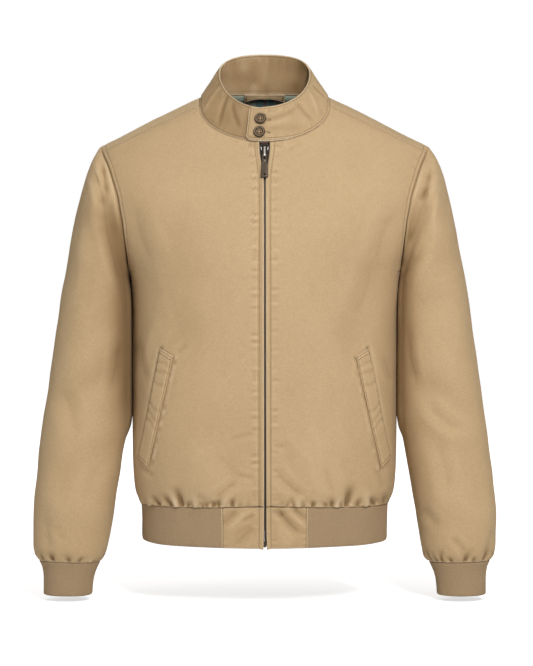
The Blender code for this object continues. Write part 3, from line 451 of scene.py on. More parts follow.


def clothPiece(name, points, outward, thick, finish, closed=False, edge=None, shadeAndFade=None, opened=None):
    # a grid of points made into a wall of cloth, with its own lengths as UVs and its distance from an edge;
    # opened gives a column that is one with the next as far as a row, and apart from it above that row
    rows, columns = points.shape[:2]
    index = np.arange(rows * columns).reshape(rows, columns)
    across, up = runAlong(points, 1), runAlong(points, 0)
    across = across - across.mean(1, keepdims=True)
    up = np.broadcast_to(up.mean(1, keepdims=True), up.shape)
    if closed:
        turn = np.linalg.norm(points[:, 0] - points[:, -1], axis=-1)[:, None]
        index = np.concatenate([index, index[:, :1]], 1)
        across = np.concatenate([across, across[:, -1:] + turn], 1)
        up = np.concatenate([up, up[:, :1]], 1)
    lengths = np.stack([across, up], -1) * mm
    low, high = slice(None, -1), slice(1, None)
    corners = [(low, low), (low, high), (high, high), (high, low)]
    kept = np.ones((rows - 1, index.shape[1] - 1), bool)
    if opened:
        column, row = opened
        index[: row + 1, column] = index[: row + 1, column + 1]
        kept[:, column] = False
    quads = np.stack([index[c] for c in corners], -1)[kept]
    uvs = np.stack([lengths[c] for c in corners], -2)[kept]
    used, quads = np.unique(quads, return_inverse=True)
    quads = quads.reshape(-1, 4)
    if outward < 0:
        quads, uvs = quads[:, ::-1], uvs[:, ::-1]
    piece = meshPiece(name, points.reshape(-1, 3)[used], quads, finish)
    layer = piece.data.uv_layers.new(name="cloth")
    layer.data.foreach_set("uv", uvs.ravel().astype(np.float32))
    edge = np.full((rows, columns), 1.0) if edge is None else np.clip(edge / edgeReach, 0, 1)
    # shadeAndFade is 0.5 where there is neither; below it paints shade in hollows, above it pales raised cloth
    shadeAndFade = np.full((rows, columns), 0.5) if shadeAndFade is None else shadeAndFade
    for label, values in (("edge", edge), ("shadeAndFade", shadeAndFade)):
        values = values.ravel()[used].astype(np.float32)
        piece.data.attributes.new(label, "FLOAT", "POINT").data.foreach_set("value", values)
    wall = piece.modifiers.new("wall", "SOLIDIFY")
    wall.thickness = thick * mm
    wall.offset = -1
    return piece


def areaOf(points, closed=False):
    if closed:
        points = np.concatenate([points, points[:, :1]], 1)
    a = np.cross(points[:-1, 1:] - points[:-1, :-1], points[1:, :-1] - points[:-1, :-1])
    b = np.cross(points[1:, :-1] - points[1:, 1:], points[:-1, 1:] - points[1:, 1:])
    return (np.linalg.norm(a, axis=-1).sum() + np.linalg.norm(b, axis=-1).sum()) / 2 * 1e-6


def cutOf(points, closed=False, seam=10):
    # works out the flat cut's area: the piece's own size with its seam allowances; the result is not kept
    area = areaOf(points, closed)
    width = runAlong(points, 1)[:, -1].max() + 2 * seam
    length = runAlong(points, 0)[-1].max() + 2 * seam
    if closed:
        width += np.linalg.norm(points[:, 0] - points[:, -1], axis=-1).max()
    area = min(area + 2 * seam * (width + length - 2 * seam) * 1e-6, width * length * 1e-6)


def pulledIn(points, first=0.0, last=0.0, start=0.0, end=0.0):
    points = points.copy()
    if first:
        points[0] += unit(points[1] - points[0]) * first
    if last:
        points[-1] += unit(points[-2] - points[-1]) * last
    if start:
        points[:, 0] += unit(points[:, 1] - points[:, 0]) * start
    if end:
        points[:, -1] += unit(points[:, -2] - points[:, -1]) * end
    return points


def mirrored(points):
    return points * np.array([-1.0, 1.0, 1.0])


def treeOf(points):
    rows, columns = points.shape[:2]
    index = np.arange(rows * columns).reshape(rows, columns)
    quads = np.stack([index[:-1, :-1], index[:-1, 1:], index[1:, 1:], index[1:, :-1]], -1).reshape(-1, 4)
    return BVHTree.FromPolygons([tuple(p) for p in points.reshape(-1, 3)], [tuple(q) for q in quads.tolist()])


# ---- node groups
def newGroup(name, inputs, outputs):
    # a group's tree, what it is given and what it puts out; an input is a vector unless it has a value
    group = bpy.data.node_groups.new(name, "ShaderNodeTree")
    for label, value in inputs.items():
        kind = "NodeSocketVector" if value is None else "NodeSocketFloat"
        made = group.interface.new_socket(label, in_out="INPUT", socket_type=kind)
        if value is not None:
            made.default_value = value
    for label in outputs:
        group.interface.new_socket(label, in_out="OUTPUT", socket_type="NodeSocketFloat")
    given, made = group.nodes.new("NodeGroupInput"), group.nodes.new("NodeGroupOutput")
    return group, given.outputs, made.inputs


def node(tree, kind, inputs=None, **settings):
    made = tree.nodes.new(kind)
    for name, value in settings.items():
        setattr(made, name, value)
    for name, value in (inputs or {}).items():
        if isinstance(value, bpy.types.NodeSocket):
            tree.links.new(value, made.inputs[name])
        else:
            made.inputs[name].default_value = value
    return made


def maths(tree, operation, *values):
    return node(tree, "ShaderNodeMath", dict(enumerate(values)), operation=operation).outputs[0]


def times(tree, a, b):
    return maths(tree, "MULTIPLY", a, b)


def above(tree, value, level):
    # how far a value is above a level, and 0 below it
    return maths(tree, "MAXIMUM", maths(tree, "SUBTRACT", value, level), 0.0)


def vectors(tree, operation, *values):
    made = node(tree, "ShaderNodeVectorMath", dict(enumerate(values)), operation=operation)
    return made.outputs["Value" if operation == "LENGTH" else "Vector"]


def mixed(tree, factor, a, b):
    a, b = ((*colour, 1) if isinstance(colour, tuple) else colour for colour in (a, b))
    return node(tree, "ShaderNodeMix", {0: factor, 6: a, 7: b}, data_type="RGBA").outputs[2]


def noiseOf(tree, vector, scale, detail=2.0, rough=0.5):
    made = {"Vector": vector, "Scale": scale, "Detail": detail, "Roughness": rough}
    return node(tree, "ShaderNodeTexNoise", made).outputs["Fac"]


def stretched(tree, vector, scale, rotation=(0, 0, 0)):
    given = {"Vector": vector, "Scale": scale, "Rotation": rotation}
    return node(tree, "ShaderNodeMapping", given).outputs["Vector"]


def placeIn(tree):
    return node(tree, "ShaderNodeTexCoord").outputs["Object"]


def splitUp(tree, vector):
    return node(tree, "ShaderNodeSeparateXYZ", {"Vector": vector}).outputs


def twillWeave():
    # diagonal yarns crossed by a finer weft, with uneven yarns; its vector is the cloth's own lengths
    tree, given, made = newGroup("twillWeave", {"Vector": None, "Yarn": 0.00075, "Slub": 0.5}, ["Height", "Slubs"])
    parts = splitUp(tree, given["Vector"])
    turns = maths(tree, "DIVIDE", 2 * math.pi, given["Yarn"])
    slubs = noiseOf(tree, stretched(tree, given["Vector"], (700, 60, 1)), 1.0)
    diagonal = maths(tree, "ADD", parts["X"], times(tree, parts["Y"], 0.62))
    twill = maths(tree, "SINE", maths(tree, "MULTIPLY_ADD", diagonal, turns, times(tree, slubs, 3.0)))
    weft = maths(tree, "SINE", times(tree, parts["Y"], times(tree, turns, 1.7)))
    height = maths(tree, "MULTIPLY_ADD", twill, 0.36, maths(tree, "MULTIPLY_ADD", weft, 0.14, 0.5))
    uneven = times(tree, maths(tree, "SUBTRACT", slubs, 0.5), given["Slub"])
    tree.links.new(maths(tree, "ADD", height, uneven), made["Height"])
    tree.links.new(slubs, made["Slubs"])
    return tree


def washedTone():
    # soft uneven fading over a whole garment, with fine flecks; the masks are centred on 0.5
    tree, given, made = newGroup("washedTone", {"Vector": None, "Patch": 9.0, "Fleck": 420.0}, ["Patches", "Flecks"])
    patches = noiseOf(tree, given["Vector"], given["Patch"], 4.0, 0.55)
    flecks = noiseOf(tree, given["Vector"], given["Fleck"], rough=0.6)
    tree.links.new(patches, made["Patches"])
    tree.links.new(flecks, made["Flecks"])
    return tree


def edgeWear():
    # 1 along a turned edge, broken up by noise, and 0 inside the panel: edge wear together with a painted highlight on
    # the turned edge
    tree, given, made = newGroup("edgeWear", {"Edge": 1.0, "Vector": None, "Reach": 0.07, "Breakup": 300.0}, ["Wear"])
    near = above(tree, 1.0, maths(tree, "DIVIDE", given["Edge"], given["Reach"]))
    broken = noiseOf(tree, given["Vector"], given["Breakup"])
    wornAndLit = times(tree, near, maths(tree, "MULTIPLY_ADD", broken, 1.4, 0.1))
    tree.links.new(maths(tree, "MINIMUM", wornAndLit, 1.0), made["Wear"])
    return tree


def metalAge():
    # scratches and dull patches of plated metal
    tree, given, made = newGroup("metalAge", {"Vector": None, "Scale": 900.0}, ["Dull", "Scratches"])
    dull = noiseOf(tree, given["Vector"], given["Scale"], 3.0, 0.6)
    scratches = noiseOf(tree, stretched(tree, given["Vector"], (9000, 9000, 700)), 1.0)
    tree.links.new(dull, made["Dull"])
    tree.links.new(scratches, made["Scratches"])
    return tree


groups = {"weave": twillWeave(), "tone": washedTone(), "wearAndHighlight": edgeWear(), "metal": metalAge()}
print("node groups made")


def placed(tree, group, inputs):
    return node(tree, "ShaderNodeGroup", inputs, node_tree=groups[group]).outputs


def newMaterial(name):
    made = bpy.data.materials.new(name)
    made.use_nodes = True
    return made, made.node_tree, made.node_tree.nodes["Principled BSDF"]


def finished(tree, shader, colour, rough, height, strength, distance, below=None):
    # the parts of a finish that vary over it: its colour, roughness and fine relief
    given = {"Height": height, "Strength": strength, "Distance": distance}
    if below is not None:
        given["Normal"] = below
    tree.links.new(colour, shader.inputs["Base Color"])
    tree.links.new(rough, shader.inputs["Roughness"])
    tree.links.new(node(tree, "ShaderNodeBump", given).outputs["Normal"], shader.inputs["Normal"])


def shaded(colour, *shares):
    return tuple(min(1, c * share) for c, share in zip(colour, shares * 3))


def clothMaterial(name, look):
    made, tree, shader = newMaterial(name)
    uv, place = node(tree, "ShaderNodeUVMap", uv_map="cloth").outputs["UV"], placeIn(tree)
    edge, shadeAndFade = (node(tree, "ShaderNodeAttribute", attribute_name=label).outputs["Fac"]
                   for label in ("edge", "shadeAndFade"))
    weave = placed(tree, "weave", {"Vector": uv, "Yarn": look["yarn"], "Slub": look["slub"]})
    tone = placed(tree, "tone", {"Vector": place, "Patch": look["patch"], "Fleck": look["fleck"]})
    wearAndHighlight = placed(tree, "wearAndHighlight", {"Edge": edge, "Vector": place, "Reach": look["reach"]})
    flecked = maths(tree, "MULTIPLY_ADD", maths(tree, "SUBTRACT", tone["Flecks"], 0.5), 2.2, 0.5)
    colour = mixed(tree, flecked, shaded(look["colour"], 0.80), shaded(look["colour"], 1.20))
    darker, lighter = shaded(look["colour"], 1 - look["spread"]), shaded(look["colour"], 1 + look["spread"])
    colour = mixed(tree, 0.5, mixed(tree, tone["Patches"], darker, lighter), colour)
    # painted shade in the weave's sunken yarns
    sunk = maths(tree, "MULTIPLY_ADD", weave["Height"], -look["weaveShade"], look["weaveShade"])
    colour = mixed(tree, sunk, colour, shaded(look["colour"], 0.55))
    # painted shade in hollows, where shadeAndFade is below 0.5; above it the raised cloth pales towards the worn
    # colour
    paintedShadeMix = times(tree, maths(tree, "MINIMUM", shadeAndFade, 0.5), 2.0)
    colour = mixed(tree, paintedShadeMix, shaded(look["colour"], 0.50, 0.45, 0.38), colour)
    colour = mixed(tree, times(tree, above(tree, shadeAndFade, 0.5), 1.1), colour, look["wornAndLitColour"])
    # edge wear and a painted highlight along turned edges
    colour = mixed(tree, times(tree, wearAndHighlight["Wear"], look["wearAndHighlight"]), colour, look["wornAndLitColour"])
    given = {"Height": weave["Height"], "Strength": look["bump"], "Distance": look["yarn"] * 0.35}
    woven = node(tree, "ShaderNodeBump", given).outputs["Normal"]
    rough = maths(tree, "MULTIPLY_ADD", tone["Flecks"], 0.16, look["rough"])
    finished(tree, shader, colour, rough, tone["Flecks"], look["bump"] * 0.5, 0.0004, below=woven)
    shader.inputs["Specular IOR Level"].default_value = look["gloss"]
    shader.inputs["Sheen Weight"].default_value = look["sheen"]
    shader.inputs["Sheen Roughness"].default_value = 0.45
    shader.inputs["Sheen Tint"].default_value = (*look["wornAndLitColour"], 1)
    return made


shellLook = {
    "colour": (0.528, 0.370, 0.203), "spread": 0.12, "patch": 8.0, "fleck": 520.0,
    "wornAndLitColour": (0.78, 0.63, 0.44), "wearAndHighlight": 0.95, "reach": 0.055,
    "yarn": 0.00078, "slub": 0.5, "weaveShade": 0.16, "bump": 0.35, "rough": 0.78, "gloss": 0.22,
    "sheen": 0.12,
}
ribLook = dict(
    shellLook, colour=(0.395, 0.275, 0.160), wornAndLitColour=(0.52, 0.40, 0.27),
    wearAndHighlight=0.4, yarn=0.0011, weaveShade=0.22, bump=0.5, rough=0.84, gloss=0.14, sheen=0.25, spread=0.08,
)
# the thread is darker than the cloth: painted shade along the stitch lines
threadLook = dict(
    shellLook, colour=(0.20, 0.128, 0.062), spread=0.06, weaveShade=0.1, rough=0.6, gloss=0.3, wearAndHighlight=0,
)
# a darker copy of the shell cloth: painted shade for the collar's inner ply
shadedInsideLook = dict(shellLook, colour=(0.36, 0.235, 0.118), spread=0.3, patch=26.0)

shellCloth = clothMaterial("shellCotton", shellLook)
ribKnit = clothMaterial("ribKnit", ribLook)
shadedInnerCloth = clothMaterial("shellCottonShadedInside", shadedInsideLook)
thread = clothMaterial("sewingThread", threadLook)
# near-black thread under the buttons' holes: painted shade down the holes
holeShadeThread = clothMaterial("buttonThreadHoleShade", dict(threadLook, colour=(0.004, 0.003, 0.002), gloss=0.0))
print("cloth materials made")

liningLook = {
    # teal and sage blocks with dark red and pale lines, in the cloth's own lengths
    "teal": (0.060, 0.130, 0.140), "sage": (0.300, 0.350, 0.265), "red": (0.260, 0.028, 0.030),
    "pale": (0.50, 0.50, 0.42), "dust": (0.20, 0.22, 0.18), "repeat": 0.064, "redWidth": 0.056,
    "paleWidth": 0.016,
}


def liningMaterial(look):
    made, tree, shader = newMaterial("checkLining")
    uv = node(tree, "ShaderNodeUVMap", uv_map="cloth").outputs["UV"]
    parts = splitUp(tree, uv)

    def bands(axis, start, width):
        # the lengths run below 0 too, so they are moved on by whole repeats first
        moved = maths(tree, "ADD", parts[axis], (start + 64) * look["repeat"])
        share = maths(tree, "FRACT", maths(tree, "DIVIDE", moved, look["repeat"]))
        return maths(tree, "LESS_THAN", share, width)

    def crossed(start, width):
        return times(tree, maths(tree, "ADD", bands("X", start, width), bands("Y", start, width)), 0.5)

    colour = mixed(tree, crossed(0.25, 0.5), look["sage"], look["teal"])
    colour = mixed(tree, crossed(look["redWidth"] / 2, look["redWidth"]), colour, look["red"])
    colour = mixed(tree, crossed(-0.08, look["paleWidth"]), colour, look["pale"])
    weave = placed(tree, "weave", {"Vector": uv, "Yarn": 0.0006, "Slub": 0.3})
    tone = placed(tree, "tone", {"Vector": placeIn(tree), "Patch": 14.0, "Fleck": 900.0})
    colour = mixed(tree, times(tree, tone["Flecks"], 0.3), colour, look["dust"])
    rough = maths(tree, "MULTIPLY_ADD", tone["Patches"], 0.15, 0.68)
    finished(tree, shader, colour, rough, weave["Height"], 0.3, 0.0002)
    shader.inputs["Specular IOR Level"].default_value = 0.25
    return made


def metalMaterial(name, dark, light, rough):
    made, tree, shader = newMaterial(name)
    age = placed(tree, "metal", {"Vector": placeIn(tree), "Scale": 700.0})
    edges = node(tree, "ShaderNodeNewGeometry").outputs["Pointiness"]
    rubbed = maths(tree, "MINIMUM", times(tree, above(tree, edges, 0.53), 6.0), 0.7)
    colour = mixed(tree, rubbed, mixed(tree, age["Dull"], dark, light), shaded(light, 2.2))
    rough = maths(tree, "MULTIPLY_ADD", age["Dull"], 0.3, rough)
    finished(tree, shader, colour, rough, age["Scratches"], 0.2, 0.00008)
    shader.inputs["Metallic"].default_value = 0.9
    return made


# the tape's own dark colour, darkened further as painted shade in the gap between the teeth
tapeLook = {
    "pitches": (("Z", 0.0008), ("X", 0.0014)),  # of its ribs and of its cords, in metres
    "dark": (0.012, 0.009, 0.006), "light": (0.032, 0.023, 0.015),
}


def tapeMaterial(look):
    made, tree, shader = newMaterial("zipTape")
    place = placeIn(tree)
    parts = splitUp(tree, place)
    rib, cords = (maths(tree, "SINE", times(tree, parts[axis], 2 * math.pi / pitch))
                  for axis, pitch in look["pitches"])
    height = maths(tree, "MULTIPLY_ADD", rib, 0.3, maths(tree, "MULTIPLY_ADD", cords, 0.2, 0.5))
    tone = placed(tree, "tone", {"Vector": place, "Patch": 40.0, "Fleck": 1200.0})
    colour = mixed(tree, tone["Flecks"], look["dark"], look["light"])
    rough = maths(tree, "MULTIPLY_ADD", tone["Patches"], 0.2, 0.7)
    finished(tree, shader, colour, rough, height, 0.6, 0.0003)
    return made


checkLining = liningMaterial(liningLook)
agedMetal = metalMaterial("agedZipMetal", (0.10, 0.085, 0.068), (0.24, 0.21, 0.175), 0.30)
pullMetal = metalMaterial("darkPullMetal", (0.028, 0.021, 0.015), (0.066, 0.050, 0.036), 0.42)
# near-black metal: painted shade in the slider's recess and at the zip's top stops
recessShadeMetal = metalMaterial("recessShadeMetal", (0.010, 0.008, 0.006), (0.022, 0.018, 0.014), 0.6)
# pale metal for the slider's bridge and shoulder plates: painted highlights
highlightMetal = metalMaterial("paintedHighlightMetal", (0.50, 0.47, 0.42), (0.72, 0.70, 0.66), 0.22)
toothMetal = metalMaterial("zipTeeth", (0.035, 0.028, 0.020), (0.11, 0.09, 0.07), 0.38)
zipTape = tapeMaterial(tapeLook)
print("lining, metal and tape materials made")

# ---- stitches
stitch = {
    "pitch": 3.3, "length": 2.4, "radius": 0.3, "sides": 5,
    # along the stitch, how wide and how high, in lengths and radii
    "rings": [(-0.5, 0.45, -0.9), (-0.26, 1.0, 0.15), (0.26, 1.0, 0.15), (0.5, 0.45, -0.9)],
}
stitchesMade = {}


def addStitches(group, line, normals, pitch=None, length=None, radius=None, gap=0.0):
    # thread lying in short arcs along a line on the cloth; gap leaves out a length at each end
    pitch, length, radius = pitch or stitch["pitch"], length or stitch["length"], radius or stitch["radius"]
    run = runAlong(line)
    count = int((run[-1] - 2 * gap) / pitch)
    if count < 1:
        return
    middles = gap + (np.arange(count) + 0.5) * (run[-1] - 2 * gap) / count

    def at(s, values):
        return np.stack([np.interp(s, run, values[:, k]) for k in range(3)], -1)

    centre, normal = at(middles, line), unit(at(middles, normals))
    tangent = unit(at(middles + length / 2, line) - at(middles - length / 2, line))
    side = unit(np.cross(normal, tangent))
    sides, rings = stitch["sides"], stitch["rings"]
    turns = np.arange(sides) * 2 * math.pi / sides
    vertices = []
    for along, wide, lift in rings:
        for turn in turns:
            out, aside = radius * (lift + wide * math.cos(turn)), radius * wide * math.sin(turn)
            vertices.append(centre + tangent * (along * length) + normal * out + side * aside)
    vertices = np.stack(vertices, 1)
    faces = np.array(ringFaces(len(rings) - 1, sides))[None]
    faces = faces + (np.arange(count) * vertices.shape[1])[:, None, None]
    stitchesMade.setdefault(group, []).append((vertices.reshape(-1, 3), faces.reshape(-1, 4)))


def snapped(tree, line):
    places, normals = [], []
    for p in line:
        place, normal, _, _ = tree.find_nearest(Vector(p))
        places.append(place)
        normals.append(normal)
    return np.array(places), np.array(normals)


def offsetLine(line, inner, away, count=160):
    # a line this far in from a seam line; inner is a line further into the panel
    line, inner = placedOn(line, np.linspace(0, 1, count)), placedOn(inner, np.linspace(0, 1, count))
    tangent = unit(np.gradient(line, axis=0))
    aside = inner - line
    return line + unit(aside - tangent * (aside * tangent).sum(-1, keepdims=True)) * away


def seamStitches(group, tree, line, inner, away, outward=1, **sizes):
    places, normals = snapped(tree, offsetLine(line, inner, away))
    addStitches(group, places, normals * outward, **sizes)


def finishStitches():
    for group, parts in stitchesMade.items():
        finish = holeShadeThread if group == "buttons" else thread
        start, vertices, faces = 0, [], []
        for points, quads in parts:
            vertices.append(points)
            faces.append(quads + start)
            start += len(points)
        vertices, faces = np.concatenate(vertices), np.concatenate(faces)
        meshPiece(f"stitches_{group}", vertices, faces, finish)
    each = (len(stitch["rings"]) - 1) * stitch["sides"]
    print("stitches:", {g: sum(len(q) for _, q in parts) // each for g, parts in stitchesMade.items()})


# ---- fronts
welt = {
    "top": ((125.5, -364), (143.5, -353)), "bottom": ((162, -522.5), (176, -508.5)),  # inner and outer corner
    "wall": 1.5, "stands": 2.9,
    "drawnIn": [(0, 3.4, 2.6, 0.2, 1.0), (0, 0.4, 1.4, -0.7, 0), (1, -1.2, 2.6, -2.0, 0)],  # by which corner
    "dents": [0.10, 0.17, 0.27, 0.48, 0.56, 0.63], "dentDepth": 0.9,  # creases across it, from the top
}
front = {
    "wall": 1.5, "fine": 1.25, "coarse": 2.2, "rows": 2.05, "nearEdge": 16,
    "foldStitch": 6.6,  # of the edge topstitch from the fold
    # how far from each seam the folds start, the puckers beside it (place, height, size), the stitching's
    # grooves (place, depth), and how deep the cloth sinks at the seam itself
    "seams": [("zip", 20), ("neck", 14), ("shoulder", 14), ("armhole", 14), ("side", 26)],
    "puckers": [("zip", 11.5, 0.9, 5.2), ("armhole", 9, 0.5, 6), ("neck", 6, 0.5, 5), ("shoulder", 4, 0.3, 5)],
    "grooves": [("zip", 6.6, 0.7), ("armhole", 6.5, 0.6), ("neck", 1.9, 0.4), ("armhole", 1.4, 0.3)],
    "sunk": [("neck", 0.8), ("armhole", 0.35), ("side", 0.35), ("hem", 0.15), ("shoulder", 0.8)],
    "lip": smoothTable([(-65, 0.25), (-108, 0.25), (-122, 0.95), (-560, 1.05), (-630, 1.1)]),  # the fold's rise
    "foldsLeft": [
        (160, -250, 112, -350, 28, -4.5), (183, -300, 184, -470, 22, -3.5), (70, -470, 84, -556, 26, 3.5),
        (118, -190, 84, -290, 30, -2.5),
    ],
    "foldsRight": [
        (150, -258, 104, -340, 28, -4), (183, -290, 184, -450, 22, -4), (96, -488, 78, -560, 28, 3),
        (124, -176, 92, -262, 30, -2.5),
    ],
    "creasesLeft": [
        (170, -367, 183, -399, 7, -1.8, 0), (159, -522, 165, -549, 6, -1.3, 0),
        (16, -520, 52, -554, 7, -2.0, 3), (12, -485, 27, -486, 4, -0.8, 0),
        (82, -514, 93, -549, 9, -1.2, 0), (35, -76, 52, -68, 4, -0.8, 0),
        (178, -168, 160, -226, 13, -2.2, 4), (150, -236, 132, -300, 16, -1.6, -4),
        (60, -392, 30, -430, 18, -0.8, 4), (30, -470, 60, -505, 10, 0.9, 0),
        (100, -440, 118, -500, 14, 0.8, 3),
    ],
    "creasesRight": [
        (158, -331, 175, -385, 8, 1.5, 0), (181, -348, 169, -394, 7, -2.0, 0),
        (108, -348, 119, -358, 5, -0.8, 0), (166, -525, 157, -531, 4, -1.0, 0),
        (66, -556, 42, -538, 6, -1.3, 0), (93, -556, 81, -563, 5, -1.0, 0),
        (181, -162, 158, -231, 14, -2.2, -4), (158, -217, 130, -314, 18, 1.5, 0),
        (14, -468, 40, -474, 4, -0.8, 0), (16, -530, 36, -526, 4, -0.9, 0),
        (64, -500, 30, -540, 12, -1.1, 3),
    ],
    "gathersLeft": [
        # x at the hem seam, lean, length, half width, height
        (114, 7, 44, 6.5, -2.6), (154, -6, 20, 5, -1.6), (93, 0, 20, 4.5, -1.8), (87, -5, 12, 4, -1.3),
        (67, 0, 14, 4, -1.3), (107, -3, 14, 3.5, -1.2), (130, 2, 18, 4, -1.4), (46, 4, 26, 6, 1.2),
        (140, 4, 34, 6, 1.8), (100, 4, 24, 4, 1.4), (168, 2, 26, 5, -1.5), (30, 3, 16, 5, -0.9),
    ],
    "gathersRight": [
        (147, 13, 22, 5, -1.5), (130, 12, 24, 5, -1.6), (114, 12, 38, 6, -2.5), (106, 1, 13, 4, -1.4),
        (85, 2, 12, 4, -1.2), (80, 0, 12, 3, -1.1), (70, 0, 14, 4.5, -2.0), (63, 0, 12, 3.5, -1.2),
        (44, 0, 18, 4, -1.4), (122, 10, 30, 5, 1.8), (95, 4, 26, 5, 1.3), (160, 6, 30, 5, 1.4),
        (55, -4, 22, 5, 1.2),
    ],
}


def closingUp(z, sign):
    # how far a folded edge moves in over the zip, which drifts to the wearer's left on its way down
    return frontGap(z)[..., 0] - zipGap(z)[..., 0] - sign * zipDrift(z)[..., 0]


def panelRelief(points, x, z, seams, folds, marks, seed):
    # the height of folds, creases and soft unevenness over a panel, kept low beside its joining seams
    fade, still = np.ones_like(x), np.ones_like(x)
    for away, reach in seams:
        fade = fade * smooth(away / reach)
        still = still * smooth(away / (reach * 0.4))
    soft = 1.1 * cloud(points * np.array([1, 1, 0.6]), 75, seed)
    soft = soft + 0.55 * cloud(points * np.array([1, 1, 0.7]), 32, seed + 1)
    soft = soft + 0.16 * cloud(points, 11, seed + 2)
    return broadFolds(x, z, folds) * fade + 1.1 * creases(x, z, marks) * still + soft * fade


def makeFront(side, name):
    settings = front
    row = rowPlaces(frontEnds, -1, 18, settings["fine"], settings["rows"], settings["nearEdge"])
    shares = gradedShares(185, settings["fine"], settings["coarse"], settings["nearEdge"])
    base = rowsAcross(*frontEnds(row), -1, shares)
    x, z = base[..., 0], base[..., 2]
    normals = gridNormals(base, 1)
    under, neckRow = int(np.searchsorted(row, 8)), int(np.searchsorted(row, 12))
    edges = {
        "zip": base[: neckRow + 1, 0], "neck": base[neckRow:, 0], "shoulder": base[-1],
        "armhole": base[under:, -1], "side": base[: under + 1, -1], "hem": base[0],
    }
    away, along = {}, {}
    for key, line in edges.items():
        away[key], along[key] = nearLine(base, line)
    seams = [(away[key], reach) for key, reach in settings["seams"]]
    outward, panelSeed, seed = (1, 11, 31) if side == "Left" else (-1, 23, 37)
    height = panelRelief(base, x, z, seams, settings["folds" + side], settings["creases" + side], panelSeed)
    loose = looseGathers(190, 9, (10, 26), (2.6, 4.5), (0.3, 0.9), seed)
    lift = 2.1 * gathers(x, away["hem"], settings["gathers" + side]) + 1.6 * gathers(x, away["hem"], loose)
    lift = lift * smooth((x - 12) / 14) * smooth((188 - x) / 14)
    height += np.where(lift > 0, lift, lift * smooth(away["hem"] / 3.5 + 0.25))
    # puckers that the topstitching draws in beside each seam
    for key, reach, deep, size in settings["puckers"]:
        height += deep * ripple(along[key], size, seed + len(key)) * bell(away[key], reach, reach * 0.45)
    for key, at, deep in settings["grooves"]:
        height -= deep * bell(away[key], at, 1.1)
    for key, deep in settings["sunk"]:
        height -= deep * (1 - smooth(away[key] / 2.0))
    # the cloth is drawn in along the welt's stitching and sinks beside its outer edge
    for corner, at, wide, deep, pucker in welt["drawnIn"]:
        (x0, z0), (x1, z1) = welt["top"][corner], welt["bottom"][corner]
        run = math.hypot(x1 - x0, z1 - z0)
        t = ((x - x0) * (x1 - x0) + (z - z0) * (z1 - z0)) / run
        aside = ((x - x0) * (z1 - z0) - (z - z0) * (x1 - x0)) / run
        band = bell(aside, at, wide) * smooth((t + 6) / 8) * smooth((run + 6 - t) / 8)
        height += band * (deep + pucker * ripple(t, 8, seed + 9))
    # the folded edge beside the zip stands up and closes over the teeth
    lip = settings["lip"](z)[..., 0] * (1 - smooth((away["zip"] - 0.4) / (settings["foldStitch"] - 1.2)))
    height = height * smooth((away["zip"] + 1.5) / 9) + lip
    # painted shade in hollows, gather troughs and along creases and folds; raised puckers and bunches pale
    shadeAndFade = shadeAndFadeBy(height, 2.0) + 0.1 * np.clip(lift, -3, 0.6)
    shadeAndFade = shadeAndFade + 0.011 * np.clip(height, -4, 3) * smooth(away["hem"] / 12)
    if side == "Right":  # painted shade on its folded strip, which is turned from the light
        shadeAndFade = shadeAndFade - 0.13 * smooth((away["zip"] - 1.4) / 0.8) * smooth((5.6 - away["zip"]) / 0.8)
    points = base + normals * height[..., None]
    turned = 1.1 * rolled(1 - np.clip(away["zip"] / 1.3, 0, 1))
    number = np.arange(len(row))[:, None]
    points -= normals * (turned * smooth((neckRow + 4 - number) / 6))[..., None]
    near = (1 - smooth(away["zip"] / 16)) * np.where(number <= neckRow, 1, 0)
    points[..., 0] -= closingUp(z, outward) * near
    points = pulledIn(points, first=0.2, last=0.2, end=0.15)
    edge = np.minimum(away["zip"], away["hem"] + 1.2)
    if side == "Right":
        points = mirrored(points)
    tree = treeOf(points)
    for line, inner, distance in (
        (points[: neckRow - 1, 0], points[: neckRow - 1, 12], settings["foldStitch"] - 0.6),
        (points[under:, -1], points[under:, -9], 6.2), (points[under:, -1], points[under:, -9], 1.3),
        (points[neckRow + 2 :, 0], points[neckRow + 2 :, 8], 1.7),
    ):
        seamStitches("fronts", tree, line, inner, distance, outward)
    piece = clothPiece(name, points, outward, settings["wall"], shellCloth,
                       edge=edge, shadeAndFade=shadeAndFade)
    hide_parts(f"front_{side.lower()}")
    cutOf(base)
    return tree


frontTrees = {side: makeFront(side, f"front{side}Panel") for side in ("Left", "Right")}
print("fronts made")

# ---- back and its lining
back = {
    "wall": 1.5, "fine": 1.5, "coarse": 3.6, "nearEdge": 14,
    "puckers": [("armhole", 9, 0.35, 11), ("neck", 6, 0.3, 10), ("shoulder", 4, 0.25, 9)],
    "grooves": [("armhole", 6.5, 0.4), ("neck", 1.9, 0.3), ("shoulder", 3.6, 0.3)],
    "folds": [
        (128, -170, 80, -330, 32, 4.5), (158, -300, 150, -430, 26, 3), (40, -440, 52, -556, 30, 3.5),
        (-118, -186, -84, -310, 30, 4), (-160, -330, -156, -460, 26, 3.5), (-78, -455, -66, -552, 30, 3),
    ],
    "creases": [
        # x is the wearer's left where it is positive, here and in the folds
        (176, -168, 150, -240, 12, -2.4, 4), (-178, -172, -148, -250, 12, -2.6, -4),
        (150, -236, 108, -330, 16, -1.8, 5), (-146, -250, -112, -324, 15, -2.0, -5),
        (60, -470, 84, -520, 11, -1.4, 3), (-40, -500, -66, -540, 10, -1.4, -3),
        (20, -90, 70, -84, 10, -1.0, 4), (-84, -96, -30, -88, 10, -0.9, 4),
        (120, -420, 150, -470, 12, -1.2, 0), (-130, -400, -152, -452, 12, -1.3, 0),
        (4, -300, -12, -420, 20, -0.9, 6), (44, -250, 36, -340, 18, 0.8, -4),
    ],
}


